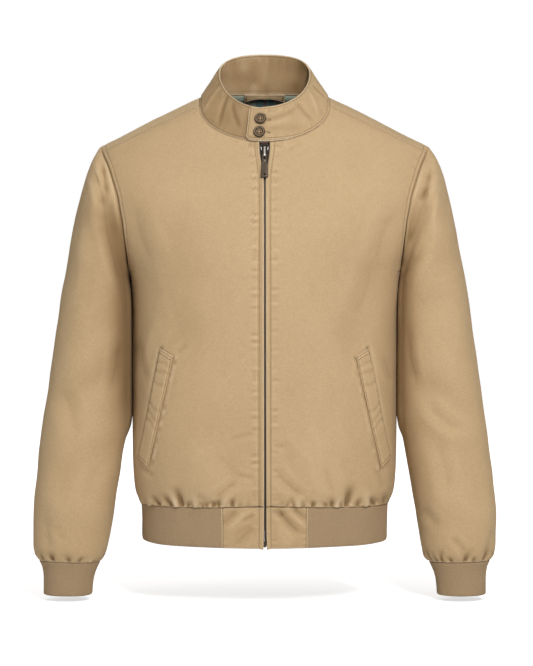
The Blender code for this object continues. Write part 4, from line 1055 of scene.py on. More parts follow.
def makeBack():
    settings = back
    row = rowPlaces(backEnds, 1, 18, settings["fine"], settings["coarse"], settings["nearEdge"])
    row = np.concatenate([row, 18 + np.linspace(0, 1, 9)[1:]])
    shares = gradedShares(2 * 215, settings["fine"], settings["coarse"], settings["nearEdge"])
    shares = 2 * shares[shares >= 0.4999] - 1
    shares[0] = 0
    base = rowsAcross(*backEnds(np.minimum(row, 18)), 1, shares)
    # the last rows pass over the ridge to the forward shoulder seam
    turn, z = neckFrontPlace(np.array([math.pi / 2]))
    outer = armholePlace(-1, np.array([shoulderSplit]))
    seam = rowsAcross((turn, z), outer, -1, shares)[0]
    ridgeRow = int(np.searchsorted(row, 18))
    for i in range(ridgeRow + 1, len(row)):
        t = row[i] - 18
        bulge = np.array([0.0, 0.0, 1.0]) * 4 * t * (1 - t) * 1.2
        base[i] = between(base[ridgeRow], seam, t) + bulge
    normals = gridNormals(base, -1)
    base = np.concatenate([mirrored(base[:, ::-1]), base], 1)
    normals = np.concatenate([mirrored(normals[:, ::-1]), normals], 1)
    x, z = base[..., 0], base[..., 2]
    under, neckRow, wide = int(np.searchsorted(row, 8)), int(np.searchsorted(row, 13)), base.shape[1] // 2
    normals[: neckRow + 1, wide - 1 : wide + 1, 0] = 0
    away, along = {}, {}
    lines = {
        "neck": np.concatenate([base[:neckRow:-1, wide - 1], base[neckRow:, wide]]),
        "hem": base[0], "shoulder": base[-1],
        "armholeLeft": base[under:, -1], "armholeRight": base[under:, 0],
        "sideLeft": base[: under + 1, -1], "sideRight": base[: under + 1, 0],
    }
    for key, line in lines.items():
        away[key], along[key] = nearLine(base, line)
    away["armhole"] = np.minimum(away["armholeLeft"], away["armholeRight"])
    away["side"] = np.minimum(away["sideLeft"], away["sideRight"])
    along["armhole"] = np.where(x > 0, along["armholeLeft"], along["armholeRight"] + 400)
    seams = [(away["neck"], 14), (away["armhole"], 14), (away["side"], 26), (away["shoulder"], 14)]
    height = panelRelief(base, x, z, seams, settings["folds"], settings["creases"], 41)
    loose = looseGathers(360, 12, (12, 40), (3.5, 7), (0.5, 2.2), 47)
    loose += looseGathers(360, 7, (8, 18), (2.5, 4), (0.2, 0.7), 53)
    lift = gathers(x + 180, away["hem"], loose) * smooth((180 - np.abs(x)) / 14)
    height += np.where(lift > 0, lift, lift * smooth(away["hem"] / 3.5 + 0.25))
    for key, reach, deep, size in settings["puckers"]:
        height += deep * ripple(along[key], size, 59 + len(key)) * bell(away[key], reach, reach * 0.45)
    for key, at, deep in settings["grooves"]:
        height -= deep * bell(away[key], at, 1.1)
    for key in ("neck", "armhole", "side", "hem", "shoulder"):
        height -= 0.8 * (1 - smooth(away[key] / 2.0))
    points = base + normals * height[..., None]
    rows = np.unique(np.concatenate([np.arange(2, neckRow, 3), np.arange(neckRow, len(row) - 6, 3)]))
    columns = np.concatenate([np.arange(wide - 1, 2, -3)[::-1], np.arange(wide, 2 * wide - 3, 3)])
    lining = (points - normals * 2.3)[rows][:, columns]
    liningOpened = (len(columns) // 2 - 1, int(np.searchsorted(rows, neckRow)))
    points = pulledIn(points, first=0.2, last=0.2, start=0.15, end=0.15)
    tree = treeOf(points)
    for line, inner, distance in (
        (points[under:, -1], points[under:, -9], 6.2), (points[under:, 0], points[under:, 8], 6.2),
        (points[-1, wide:], points[-6, wide:], 3.6), (points[-1, :wide], points[-6, :wide], 3.6),
        (points[neckRow + 2 :, wide], points[neckRow + 2 :, wide + 7], 1.7),
        (points[neckRow + 2 :, wide - 1], points[neckRow + 2 :, wide - 8], 1.7),
    ):
        seamStitches("back", tree, line, inner, distance, -1)
    # painted shade in its hollows; its raised puckers pale
    piece = clothPiece("backPanel", points, -1, settings["wall"], shellCloth,
                       edge=away["hem"], shadeAndFade=shadeAndFadeBy(height), opened=(wide - 1, neckRow))
    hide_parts("back")
    cutOf(base)
    inside = clothPiece("backLining", lining, -1, 1.0, checkLining, opened=liningOpened)
    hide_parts("lining_back")
    cutOf(lining)


makeBack()
print("back and lining made")

# ---- sleeves and cuffs
sleeve = {
    "wall": 1.5, "around": 150, "fine": 1.6, "coarse": 3.0, "nearEdge": 16, "square": 2.15,
    "seed": {"Left": 61, "Right": 71},
    "shade": {"Left": (22, 0.36), "Right": (36, 0.6)},  # how far from the body it is darker, and how much
    "allowance": [(3.4, 2.3), (1.9, 2.1), (0.5, 1.5)],  # its rows' way back and way in
    "rings": [
        # outer x, outer z, inner x, inner z, middle y, half depth
        (243, -88, 193.0, -259, 2, 68), (252.5, -111, 190.9, -277, 3, 71), (264, -153, 189.3, -301, 4, 74),
        (273.5, -196, 188.8, -326, 5, 75.5), (282, -239, 188.6, -352, 5, 75.5),
        (289, -281, 188.5, -380, 5, 74.5), (297, -338, 188.5, -414, 4, 71.5),
        (305, -395, 189.3, -447, 1, 68), (314.5, -463, 197.6, -492, -4.5, 64),
        (323, -535, 208.2, -550, -11, 58.5), (327.5, -606, 218.5, -614, -16, 53.5),
        (327.5, -631, 222.5, -636, -17.5, 50.5), (325.5, -646, 226, -649, -18, 46.5),
        (320, -655, 232, -657, -18.5, 41),
    ],
    "foldsLeft": [
        (219, -403, 292, -448, 22, -4.5), (214, -470, 300, -505, 22, -3.5), (238, -560, 318, -590, 22, 3.5),
        (222, -300, 262, -212, 26, -3.5),
    ],
    "foldsRight": [
        (219, -383, 286, -430, 22, -4), (216, -498, 304, -534, 24, -4), (230, -592, 300, -570, 22, 3),
        (224, -318, 266, -240, 26, -3),
    ],
    "frontLeft": [
        (231, -106, 221, -142, 6, -3.4, 1), (223, -140, 199, -208, 9, -4.2, -3),
        (232, -158, 204, -240, 9, -2.2, -4), (225, -128, 217, -146, 5, -1.5, 0),
        (231, -437, 273, -466, 9, -3.2, 3), (241, -490, 258, -554, 10, -2.2, -3),
        (223, -582, 241, -603, 7, -1.9, 0), (200, -333, 210, -400, 7, -1.6, 2),
        (264, -621, 279, -638, 5, -2.0, 0), (319, -613, 317, -632, 5, -1.5, 0),
        (244, -120, 236, -196, 8, 1.8, 2), (276, -300, 262, -392, 18, 1.2, 4),
        (290, -520, 296, -580, 12, -1.2, -3),
    ],
    "frontRight": [
        (237, -112, 226, -152, 6, -4.0, 1), (226, -97, 219, -138, 5, -2.4, 0),
        (226, -150, 196, -262, 9, -3.8, -3), (224, -96, 198, -165, 8, 2.4, 2),
        (226, -100, 220, -132, 5, -2.2, 0), (254, -186, 262, -272, 10, 1.4, 0),
        (286, -416, 264, -474, 12, -2.2, 3), (307, -595, 302, -635, 8, -1.8, 0),
        (292, -603, 285, -622, 6, -1.4, 0), (204, -350, 214, -410, 8, -1.5, 2),
        (232, -520, 250, -560, 9, -1.4, 0), (276, -520, 286, -574, 12, -1.1, -3),
    ],
    "back": [
        (236, -112, 222, -178, 9, -2.8, 2), (214, -180, 198, -256, 9, -2.6, -3),
        (226, -420, 270, -452, 10, -2.8, 3), (236, -500, 262, -546, 10, -2.0, -3),
        (212, -340, 226, -402, 8, -1.6, 2), (290, -598, 284, -630, 7, -1.8, 0),
        (270, -330, 284, -400, 14, 1.5, 0),
    ],
    "cuffGathers": {
        # place round the cuff from its outer side by way of the front, lean, length, half width, height
        "Left": [
            (14, 3, 20, 4, -1.8), (34, -2, 34, 5, -2.2), (50, 3, 16, 4, -1.4), (64, -6, 28, 5, -2.0),
            (82, 3, 18, 4, -1.5),
        ],
        "Right": [
            (10, 2, 18, 4, -1.6), (28, 3, 20, 4, -1.5), (46, 0, 22, 5, -2.6), (70, -3, 20, 5, -1.6),
            (84, 4, 16, 4, -1.5),
        ],
    },
}
cuff = {
    "wall": 1.9, "ribPitch": 2.5, "perRib": 5, "ribDepth": 0.42,
    "shares": np.array([0, 0.02, 0.05, 0.1, 0.2, 0.35, 0.5, 0.65, 0.8, 0.9, 0.955, 0.985, 1.0]),
    "rings": [
        (319.4, -655.6, 232.6, -657.6, -18.5, 41), (315.2, -665, 237, -667, -18.8, 38),
        (313.4, -678, 241.2, -679, -19.4, 36.2), (313.2, -691, 243, -691.5, -20, 35.4),
        (313.4, -703.6, 243.8, -704, -20.5, 35),
    ],
}


def ringHalves(row):
    outerX, outerZ, innerX, innerZ, middleY, halfDepth = row
    outer, inner = np.array([outerX, middleY, outerZ]), np.array([innerX, middleY, innerZ])
    a = np.linspace(0, math.pi, 160)
    across = np.sign(np.cos(a)) * np.abs(np.cos(a)) ** (2 / sleeve["square"])
    deep = np.maximum(0, np.sin(a)) ** (2 / sleeve["square"])
    middle, reach = (outer + inner) / 2, (outer - inner) / 2
    outward = deep[:, None] * np.array([0, halfDepth, 0])
    return [middle + across[:, None] * reach + face * outward for face in (-1, 1)]


def ringPoints(halves, count):
    ahead, behind = (placedOn(half, np.linspace(0, 1, count // 2 + 1)) for half in halves)
    return np.concatenate([ahead, behind[-2:0:-1]])


def tubeOf(rings):
    # a tube through rings of points, read by the length along it, and that whole length
    run = runAlong(rings, 0).mean(1)
    return smoothTable([(s, *ring.ravel()) for s, ring in zip(run, rings)]), run


def makeSleeve(side):
    settings, sign = sleeve, 1 if side == "Left" else -1
    along = np.linspace(0, 1, 200)
    armholeLines = []
    for face in (-1, 1):
        line = bodySkin(*armholePlace(face, along), face)
        armholeLines.append(line + np.array([0.94, 0, -0.34]) * 0.4)
    rings = [ringPoints(armholeLines, settings["around"])]
    rings += [ringPoints(ringHalves(row), settings["around"]) for row in settings["rings"]]
    table, run = tubeOf(np.stack(rings))
    steps = gradedShares(run[-1], settings["fine"], settings["coarse"], settings["nearEdge"]) * run[-1]
    base = table(steps).reshape(len(steps), settings["around"], 3)
    x, y, z = base[..., 0], base[..., 1], base[..., 2]
    normals = gridNormals(base, 1, closed=True)
    down = np.broadcast_to(runAlong(base, 0).mean(1, keepdims=True), x.shape)
    left = down[-1, 0] - down
    middleY = base[..., 1].mean(1, keepdims=True)
    frontShare = smooth((middleY - y) / 30 + 0.5)
    fade = smooth(down / 18) * smooth(left / 14)
    still = smooth(down / 5) * smooth(left / 4)
    seed = settings["seed"][side]
    clear = 1 - 0.8 * smooth((204 - x) / 12) * smooth((z + 470) / 40)  # the inside lies along the body
    soft = 1.0 * cloud(base * np.array([1, 1, 0.6]), 62, seed) + 0.5 * cloud(base, 28, seed + 1)
    soft = soft + 0.15 * cloud(base, 10, seed + 2)
    height = broadFolds(x, z, settings["folds" + side]) * fade + soft * fade * 0.9
    height += 1.25 * creases(x, z, settings["front" + side]) * still * frontShare
    height += 1.3 * creases(x, z, settings["back"]) * still * (1 - frontShare)
    height *= clear
    # below the armhole its inside is drawn against the body
    ring = bodyRings(z)
    depth = np.where(y < 0, ring[..., 1], ring[..., 2])
    bodyX = ring[..., 0] * (1 - np.clip(np.abs(y) / depth, 0, 1) ** square) ** (1 / square)
    gap = x - bodyX
    touching = 0.5 + 2.5 * smooth((z + 340) / 50)
    drawn = 0.25 + np.maximum(0, gap - 0.25) * smooth((gap - touching) / (9 - touching))
    below = smooth((-232 - z) / 14) * smooth((z + 560) / 60)
    base[..., 0] -= (gap - drawn) * below * (gap < 9) * (np.abs(y) < 70)
    around = runAlong(base, 1)
    total = around[-1].max() + 2
    loose = looseGathers(total, 10, (10, 34), (3, 5.5), (0.5, 1.9), seed + 3)
    loose += looseGathers(total, 6, (6, 14), (2, 3), (0.2, 0.7), seed + 4)
    loose = [row for row in loose if row[0] > 92]  # the outer side's are given one by one
    # gathers run along the sleeve from the cuff, so their place is scaled to the cuff seam's length
    around = around / around[:, -1:] * total
    bunch = 2.0 * gathers(around, left, loose + settings["cuffGathers"][side])
    height += np.where(bunch > 0, bunch, bunch * smooth(left / 3 + 0.3))
    height += 0.4 * ripple(around, 12, seed + 5) * bell(down, 6, 5)
    height -= 0.3 * (1 - smooth(down / 2)) + 0.5 * (1 - smooth(left / 2))
    # painted shade where it lies along the body, in its gathers and along its creases, softer on its lower part
    calm = 1 - 0.6 * smooth((-380 - z) / 60) * smooth(left / 30)
    shadeAndFade = shadeAndFadeBy(height) - 0.5 + 0.014 * np.clip(height, -4, 3) * smooth(left / 14)
    shadeAndFade = 0.5 + calm * shadeAndFade + 0.1 * np.clip(bunch, -3, 0.6)
    reach, most = settings["shade"][side]
    dark = most * bell(np.maximum(0, gap), 0, reach)
    shadeAndFade = shadeAndFade - dark * smooth((-120 - z) / 80) * smooth((z + 520) / 120)
    points = base + normals * height[..., None]
    points = pulledIn(points, last=0.2)
    # its seam allowance turns in under the body's edge
    tangent = unit(base[1] - base[0])
    allowance = [points[0] - tangent * far - normals[0] * deep for far, deep in settings["allowance"]]
    points = np.concatenate([np.stack(allowance), points])
    left, shadeAndFade = (np.concatenate([values[:1]] * len(allowance) + [values]) for values in (left, shadeAndFade))
    if sign < 0:
        points = mirrored(points)
    piece = clothPiece(f"sleeve{side}Tube", points, sign, settings["wall"], shellCloth,
                       closed=True, edge=left, shadeAndFade=shadeAndFade)
    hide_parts(f"sleeve_{side.lower()}")
    cutOf(base, closed=True)
    makeCuff(side, sign, seed)


def ribbing(settings, count):
    # the height of a rib knit's wales over a row of this many points
    phase = np.arange(count) % settings["perRib"] / settings["perRib"]
    return settings["ribDepth"] * (np.abs(np.cos(math.pi * phase)) ** 0.7 - 1)


def makeCuff(side, sign, seed):
    # the cuff's knit, ribbed all round
    middle = ringPoints(ringHalves(cuff["rings"][2]), 240)
    girth = runAlong(middle[None], 1)[0, -1]
    count = int(round(girth / cuff["ribPitch"] / 2)) * 2 * cuff["perRib"]
    table, run = tubeOf(np.stack([ringPoints(ringHalves(row), count) for row in cuff["rings"]]))
    shares = cuff["shares"]
    base = table(shares * run[-1]).reshape(len(shares), count, 3)
    normals = gridNormals(base, 1, closed=True)
    turns = 2 * math.pi * np.arange(count) / count
    wave = 0.7 * cloud(np.stack([np.cos(turns), np.sin(turns), 0 * turns], -1) * 30, 16, seed + 6)
    down = shares[:, None]
    height = ribbing(cuff, count)[None] * smooth(down / 0.03 + 0.3) + wave[None] * smooth(down * 3)
    height = height - 1.6 * rolled(np.clip((down - 0.955) / 0.045, 0, 1)) - 0.7 * (1 - smooth(down / 0.04))
    points = base + normals * height[..., None]
    if sign < 0:
        points = mirrored(points)
    edge = np.broadcast_to(((1 - shares) * run[-1])[:, None], (len(shares), count))
    piece = clothPiece(f"cuff{side}Rib", points, sign, cuff["wall"], ribKnit, closed=True, edge=edge)
    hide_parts(f"cuff_{side.lower()}")
    cutOf(base, closed=True, seam=4)


makeSleeve("Left")
makeSleeve("Right")
print("sleeves and cuffs made")

# ---- waistband
band = {
    "tab": 60, "wall": 2.0, "tabWall": 1.5, "high": 55,
    "ribPitch": 2.5, "perRib": 5, "ribDepth": 0.40, "rollShare": 0.045,
    "shares": np.array([0, 0.012, 0.03, 0.07, 0.15, 0.28, 0.42, 0.56, 0.7, 0.83, 0.92, 0.965, 0.988, 1.0]),
    "tabCreases": {
        # x, z, end x, end z, half width, height, bend
        "Left": [
            (12, -577, 26, -584, 4, -0.7, 0), (20, -575, 48, -606, 6, -1.4, 2),
            (40, -574, 58, -588, 5, -1.2, 0), (18, -600, 34, -624, 8, 0.6, 0),
        ],
        "Right": [
            (24, -580, 50, -600, 7, 0.9, 0), (16, -600, 40, -622, 7, -0.8, 0),
            (14, -582, 30, -590, 4, -0.7, 0), (40, -578, 58, -596, 6, -0.9, 0),
        ],
    },
}


def bandPath(start, end, face, share):
    turn = np.linspace(start, end, 200)
    aside = np.sin(turn) ** (2 / square)
    top = between(hem["frontZ"], hem["sideZ"], aside) - 0.35
    bottom = between(hem["frontBottom"] if face < 0 else hem["sideBottom"], hem["sideBottom"], aside)
    z = between(bottom, top, share)
    ring = bandRings(z)
    x, depth = ovalPoint(turn, ring[..., 0], ring[..., 2] if face > 0 else -ring[..., 1])
    return np.stack([x, depth, z], -1)


def bandHeight(shares):
    # the top edge tucks under the seam and the bottom edge rolls round
    low = np.clip(1 - shares / band["rollShare"], 0, 1)
    return -1.7 * rolled(low) - 0.8 * (1 - smooth((1 - shares) / 0.035))


def makeWaistband():
    settings = band
    tabTurn = ringTurn(settings["tab"], bandRings(hem["sideZ"])[0])
    paths = []
    for share in settings["shares"]:
        ahead, behind = bandPath(tabTurn, math.pi / 2, -1, share), bandPath(math.pi / 2, 0, 1, share)
        half = np.concatenate([ahead, behind[1:]])
        paths.append(np.concatenate([half, mirrored(half[-2::-1])]))
    count = int(round(runAlong(paths[5])[-1] / settings["ribPitch"])) * settings["perRib"]
    base = np.stack([placedOn(path, np.linspace(0, 1, count + 1)) for path in paths])
    normals = gridNormals(base, 1)
    shares = settings["shares"][:, None]
    wave = 0.9 * cloud(base * np.array([1, 1, 0.3]), 26, 83) + 0.4 * cloud(base, 12, 84)
    height = ribbing(settings, count + 1)[None] + wave * smooth((1 - shares) * 4) + bandHeight(shares)
    points = base + normals * height[..., None]
    points[:, :, 2] += 0.5 * cloud(base * np.array([1, 1, 0.1]), 40, 85) * smooth(1 - shares * 1.5)
    points = pulledIn(points, start=0.2, end=0.2)
    edge = np.broadcast_to(shares * settings["high"], points.shape[:2])
    piece = clothPiece("waistbandRib", points, 1, settings["wall"], ribKnit, edge=edge)
    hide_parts("hem_rib")
    cutOf(base, seam=4)
    innerTurn = ringTurn(frontGap(hem["frontZ"])[0], bandRings(hem["sideZ"])[0])
    rows = np.concatenate([np.linspace(0, 0.06, 6), np.linspace(0.1, 0.9, 26), np.linspace(0.94, 1, 5)])
    across = gradedShares(58, 0.8, 1.8, 9)
    for side, sign in (("Left", 1), ("Right", -1)):
        base = np.stack([placedOn(bandPath(innerTurn, tabTurn, -1, share), across) for share in rows])
        normals = gridNormals(base, 1)
        x, z = base[..., 0], base[..., 2]
        fromZip, fromRib = x - base[:, :1, 0], settings["tab"] - x
        height = 1.9 * creases(x, z, settings["tabCreases"][side])
        height = height * smooth(fromZip / 9) * smooth(fromRib / 4 + 0.3)
        height = height + 0.5 * cloud(base, 24, 91 + sign) * smooth(fromZip / 12)
        height -= 0.6 * bell(fromZip, front["foldStitch"], 1.0) + 0.55 * bell(fromRib, 2.4, 0.9)
        height += 0.6 * ripple(z, 4.5, 95 + sign) * bell(fromZip, 11, 4)
        height += 0.5 * ripple(z, 4.5, 97 + sign) * bell(fromRib, 5, 3)
        height += front["lip"](z)[..., 0] * (1 - smooth((fromZip - 0.4) / (front["foldStitch"] - 1.2)))
        height = height + bandHeight(rows[:, None])
        turned = 1.1 * rolled(1 - np.clip(fromZip / 1.3, 0, 1))
        points = base + normals * (height - turned + 0.5 * (1 - smooth((fromRib - 1.2) / 1.2)))[..., None]
        points[..., 0] -= closingUp(z, sign) * (1 - smooth(fromZip / 16))
        points[..., 2] -= 1.1 * (1 - smooth(fromZip / 7)) * (1 - smooth(rows[:, None] * 5))
        points = pulledIn(points, end=0.15)
        edge = np.minimum(np.minimum(fromZip, rows[:, None] * settings["high"]), fromRib)
        if sign < 0:
            points = mirrored(points)
        tree = treeOf(points)
        seamStitches("tabs", tree, points[:, 0], points[:, 10], front["foldStitch"] - 0.6, sign)
        seamStitches("tabs", tree, points[:, -1], points[:, -6], 2.2, sign)
        # painted shade in its creases and a little darker all over; raised creases pale a little
        shadeAndFade = shadeAndFadeBy(height, 1.8) + 0.05 * height - 0.05
        tab = clothPiece(f"hemTab{side}", points, sign, settings["tabWall"], shellCloth,
                         edge=edge, shadeAndFade=shadeAndFade)
        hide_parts(f"hem_tab_{side.lower()}")
        cutOf(base, seam=5)


makeWaistband()
print("waistband made")

# ---- collar
collar = {
    "wall": 1.3, "innerWall": 1.2, "topHalf": 64.6, "topSide": (30, 38.5), "topFront": (-62, -18.0),
    "topBack": (65, 63.5), "bow": 1.4, "underEnd": -0.07, "tabEnd": 2.092, "lapStarts": 1.62, "lapFull": 1.88,
    "lap": 4.0, "edgeStitch": 3.0, "corner": 5.5, "tabDip": 3.4, "around": 285, "high": 52,
    "creases": [
        # place round, up, end place, end up, half width, height: on the outer face
        (0.30, 0.95, 0.26, 0.25, 5, -1.1), (0.22, 0.8, 0.14, 0.35, 5, -0.9),
        (1.975, 0.62, 1.80, 0.72, 5, -0.6), (1.985, 0.34, 1.80, 0.20, 7, -0.6),
        (1.99, 0.45, 1.86, 0.52, 5, 0.4), (1.78, 0.85, 1.72, 0.2, 6, -0.9), (1.62, 0.9, 1.66, 0.25, 6, 0.8),
        (0.42, 0.85, 0.40, 0.2, 6, 0.8), (1.52, 0.8, 1.5, 0.2, 6, -0.9), (0.9, 0.9, 0.88, 0.2, 7, -0.8),
        (1.12, 0.85, 1.16, 0.2, 7, -0.9), (0.7, 0.9, 0.66, 0.25, 7, 0.8), (1.3, 0.8, 1.34, 0.3, 7, 0.7),
    ],
}


def necklineHalf():
    ahead = bodySkin(*neckFrontPlace(np.linspace(0, math.pi / 2, 400)), -1)
    corner, ridge = neckFrontPlace(math.pi / 2), neckBackPlace(0.0)
    t = np.linspace(0, 1, 30)
    side = bodySkin(between(corner[0], ridge[0], t), between(corner[1], ridge[1], t), -1)
    behind = bodySkin(*neckBackPlace(np.linspace(0, math.pi / 2, 400)), 1)
    return np.concatenate([ahead, side[1:], behind[1:]])


def collarTopHalf():
    a = np.linspace(0, math.pi, 600)
    ahead = np.cos(a) > 0
    share = np.abs(np.cos(a)) ** np.where(ahead, 1.0, 0.82)
    x = collar["topHalf"] * np.maximum(0, np.sin(a)) ** np.where(ahead, 1.0, 0.9)
    y, z = (side + np.where(ahead, front - side, back - side) * share
            for side, front, back in zip(collar["topSide"], collar["topFront"], collar["topBack"]))
    return np.stack([x, y, z], -1)


def looped(half):
    # a whole loop from its half: places 0 and 2 are the middle of the front, and 1 that of the back
    shares = np.linspace(0, 1, 1201)
    line = placedOn(half, shares)

    def find(place):
        place = np.asarray(place, float) % 2
        at = np.where(place <= 1, place, 2 - place)
        found = np.stack([np.interp(at, shares, line[:, k]) for k in range(3)], -1)
        found[..., 0] *= np.where(place <= 1, -1, 1)
        return found

    return find


neckSeam, collarEdge = looped(necklineHalf()), looped(collarTopHalf())


def collarLine(place, up):
    return between(neckSeam(place), collarEdge(place), np.asarray(up)[..., None])


def collarOut(place, up):
    along = collarLine(place + 0.008, up) - collarLine(place - 0.008, up)
    return unit(np.cross(collarEdge(place) - neckSeam(place), along))


def collarPoint(place, up, lift=0.0):
    lap = smooth((place - collar["lapStarts"]) / (collar["lapFull"] - collar["lapStarts"])) * collar["lap"]
    # where it is still sewn down, the lap's lower edge stays at the seam
    lap = lap * between(between(0.15, 1, smooth(up / 0.35)), 1, smooth((place - 1.83) / 0.1))
    out = collarOut(place, up)
    return collarLine(place, up) + out * (collar["bow"] * 4 * up * (1 - up) + lap + lift)[..., None]


def makeCollar():
    settings = collar
    total = settings["tabEnd"] - settings["underEnd"]
    places = settings["underEnd"] + gradedShares(580, 1.1, 2.2, 12) * total
    around, high = settings["around"], settings["high"]
    ups = gradedShares(high, 0.8, 2.0, 6)
    place, up = np.meshgrid(places, ups)
    flat = collarPoint(place, up)
    height = np.zeros_like(up)
    along, rise, fromTop = place * around, up * high, high - up * high
    for p0, u0, p1, u1, halfWidth, most in settings["creases"]:
        runX, runZ = (p1 - p0) * around, (u1 - u0) * high
        awayX, awayZ = along - p0 * around, rise - u0 * high
        t = (awayX * runX + awayZ * runZ) / (runX**2 + runZ**2)
        a = (awayX * runZ - awayZ * runX) / math.hypot(runX, runZ) / halfWidth
        height += most * np.exp(-np.abs(a) ** 1.8) * fadingEnds(t, 0.3, 0.3)
    height *= 2.0 * smooth(rise / 6) * smooth(fromTop / 7)
    soft = 1.1 * cloud(flat, 34, 101) + 0.35 * cloud(flat, 13, 102)
    height += soft * smooth(rise / 8) * smooth(fromTop / 9)
    fromUnderlap = runAlong(flat, 1)
    fromTab = fromUnderlap[:, -1:] - fromUnderlap
    fromEnds = np.minimum(fromUnderlap, fromTab)
    height += 0.5 * ripple(along, 4.5, 103) * bell(rise, 5.5, 3)
    height += 0.55 * ripple(along, 4.2, 104) * bell(rise, 44.5, 3.5)
    height -= 0.6 * bell(fromTop, settings["edgeStitch"], 0.9) + 0.5 * bell(rise, 2.2, 0.9)
    height -= 0.5 * bell(fromEnds, 2.4, 0.9)
    # painted shade: the collar is darker than the body, darker in its creases, most on the wearer's right, and in the
    # shadow of the tab's end on the underlap
    shadeAndFade = 0.5 + 0.75 * (shadeAndFadeBy(height, 1.5) - 0.5) + 0.03 * height * smooth(rise / 6) - 0.08
    shadeAndFade = shadeAndFade - (0.27 + 0.07 * cloud(flat, 17, 109)) * smooth((-flat[..., 0] - 8) / 34)
    shadeAndFade = shadeAndFade - 0.2 * bell(place, 0.096, 0.022) * smooth(rise / 6)
    # the top edge and the two ends turn over towards the inner ply
    top, end = np.clip(1 - fromTop / 1.7, 0, 1), np.clip(1 - fromEnds / 1.5, 0, 1)
    height -= 1.5 * rolled(top) + 1.2 * rolled(end)

    def tabShaped(points):
        # the tab's corners are rounded, and its top edge dips below the underlap's
        rounding = settings["corner"] * rolled(np.clip(1 - fromTab / settings["corner"], 0, 1))
        dip = settings["tabDip"] * (1 - smooth(fromTab / 30)) * smooth((rise - 14) / 38)
        shift = np.maximum(0, rounding - rise) - np.maximum(0, rounding - fromTop) - dip
        return points + unit(collarEdge(place) - neckSeam(place)) * shift[..., None]

    points = tabShaped(pulledIn(collarPoint(place, up, height), first=0.35))
    edge = np.minimum(np.minimum(fromTop, fromEnds), rise * 2) * 0.75
    tree = treeOf(points)
    for line, further, distance, gap in (
        (points[-1], points[-8], settings["edgeStitch"] + 0.4, 2), (points[0], points[8], 2.4, 2),
        (points[:, -1], points[:, -10], 2.6, 4),
    ):
        seamStitches("collar", tree, line, further, distance, -1, gap=gap)
    outer = clothPiece("collarOuterPly", points, -1, settings["wall"], shellCloth,
                       edge=edge, shadeAndFade=shadeAndFade)
    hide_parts("collar_outer")
    cutOf(flat, seam=6)
    # the inner ply faces the neck, and its top edge turns over to meet the outer one
    inside = settings["wall"] + 0.35 + settings["innerWall"]
    fold = 1.7 * cloud(flat * np.array([1, 1, 0.35]), 15, 105) * smooth(rise / 10) * smooth(fromTop / 6)
    drop = -inside - np.abs(fold) * 0.8 + 1.3 * rolled(top)
    drop += 0.5 * bell(fromTop, settings["edgeStitch"], 0.9)
    drop -= 0.45 * ripple(along, 5, 106) * bell(rise, 44, 4)
    inner = collarPoint(place, up, np.minimum(drop, height * 0.5 - inside + 1.5))
    inner = tabShaped(pulledIn(inner, first=-1.2, start=0.9, end=0.9))
    innerTree = treeOf(inner)
    seamStitches("collarInside", innerTree, inner[-1], inner[-8], settings["edgeStitch"] + 0.2, gap=2)
    for distance in (1.8, 5.2):
        seamStitches("collarInside", innerTree, inner[0], inner[8], distance, gap=2)
    # painted shade in its folds, darkest towards the wearer's left end, with uneven patches
    shadeAndFade = shadeAndFadeBy(-drop, 1.8) + 0.16 * cloud(flat, 15, 107) - 0.42 * smooth((flat[..., 0] - 22) / 34)
    ply = clothPiece("collarInnerPly", inner, 1, settings["innerWall"], shadedInnerCloth,
                     edge=edge, shadeAndFade=shadeAndFade)
    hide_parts("collar_inner")
    cutOf(inner, seam=6)
    return tree


collarTree = makeCollar()
print("collar made")

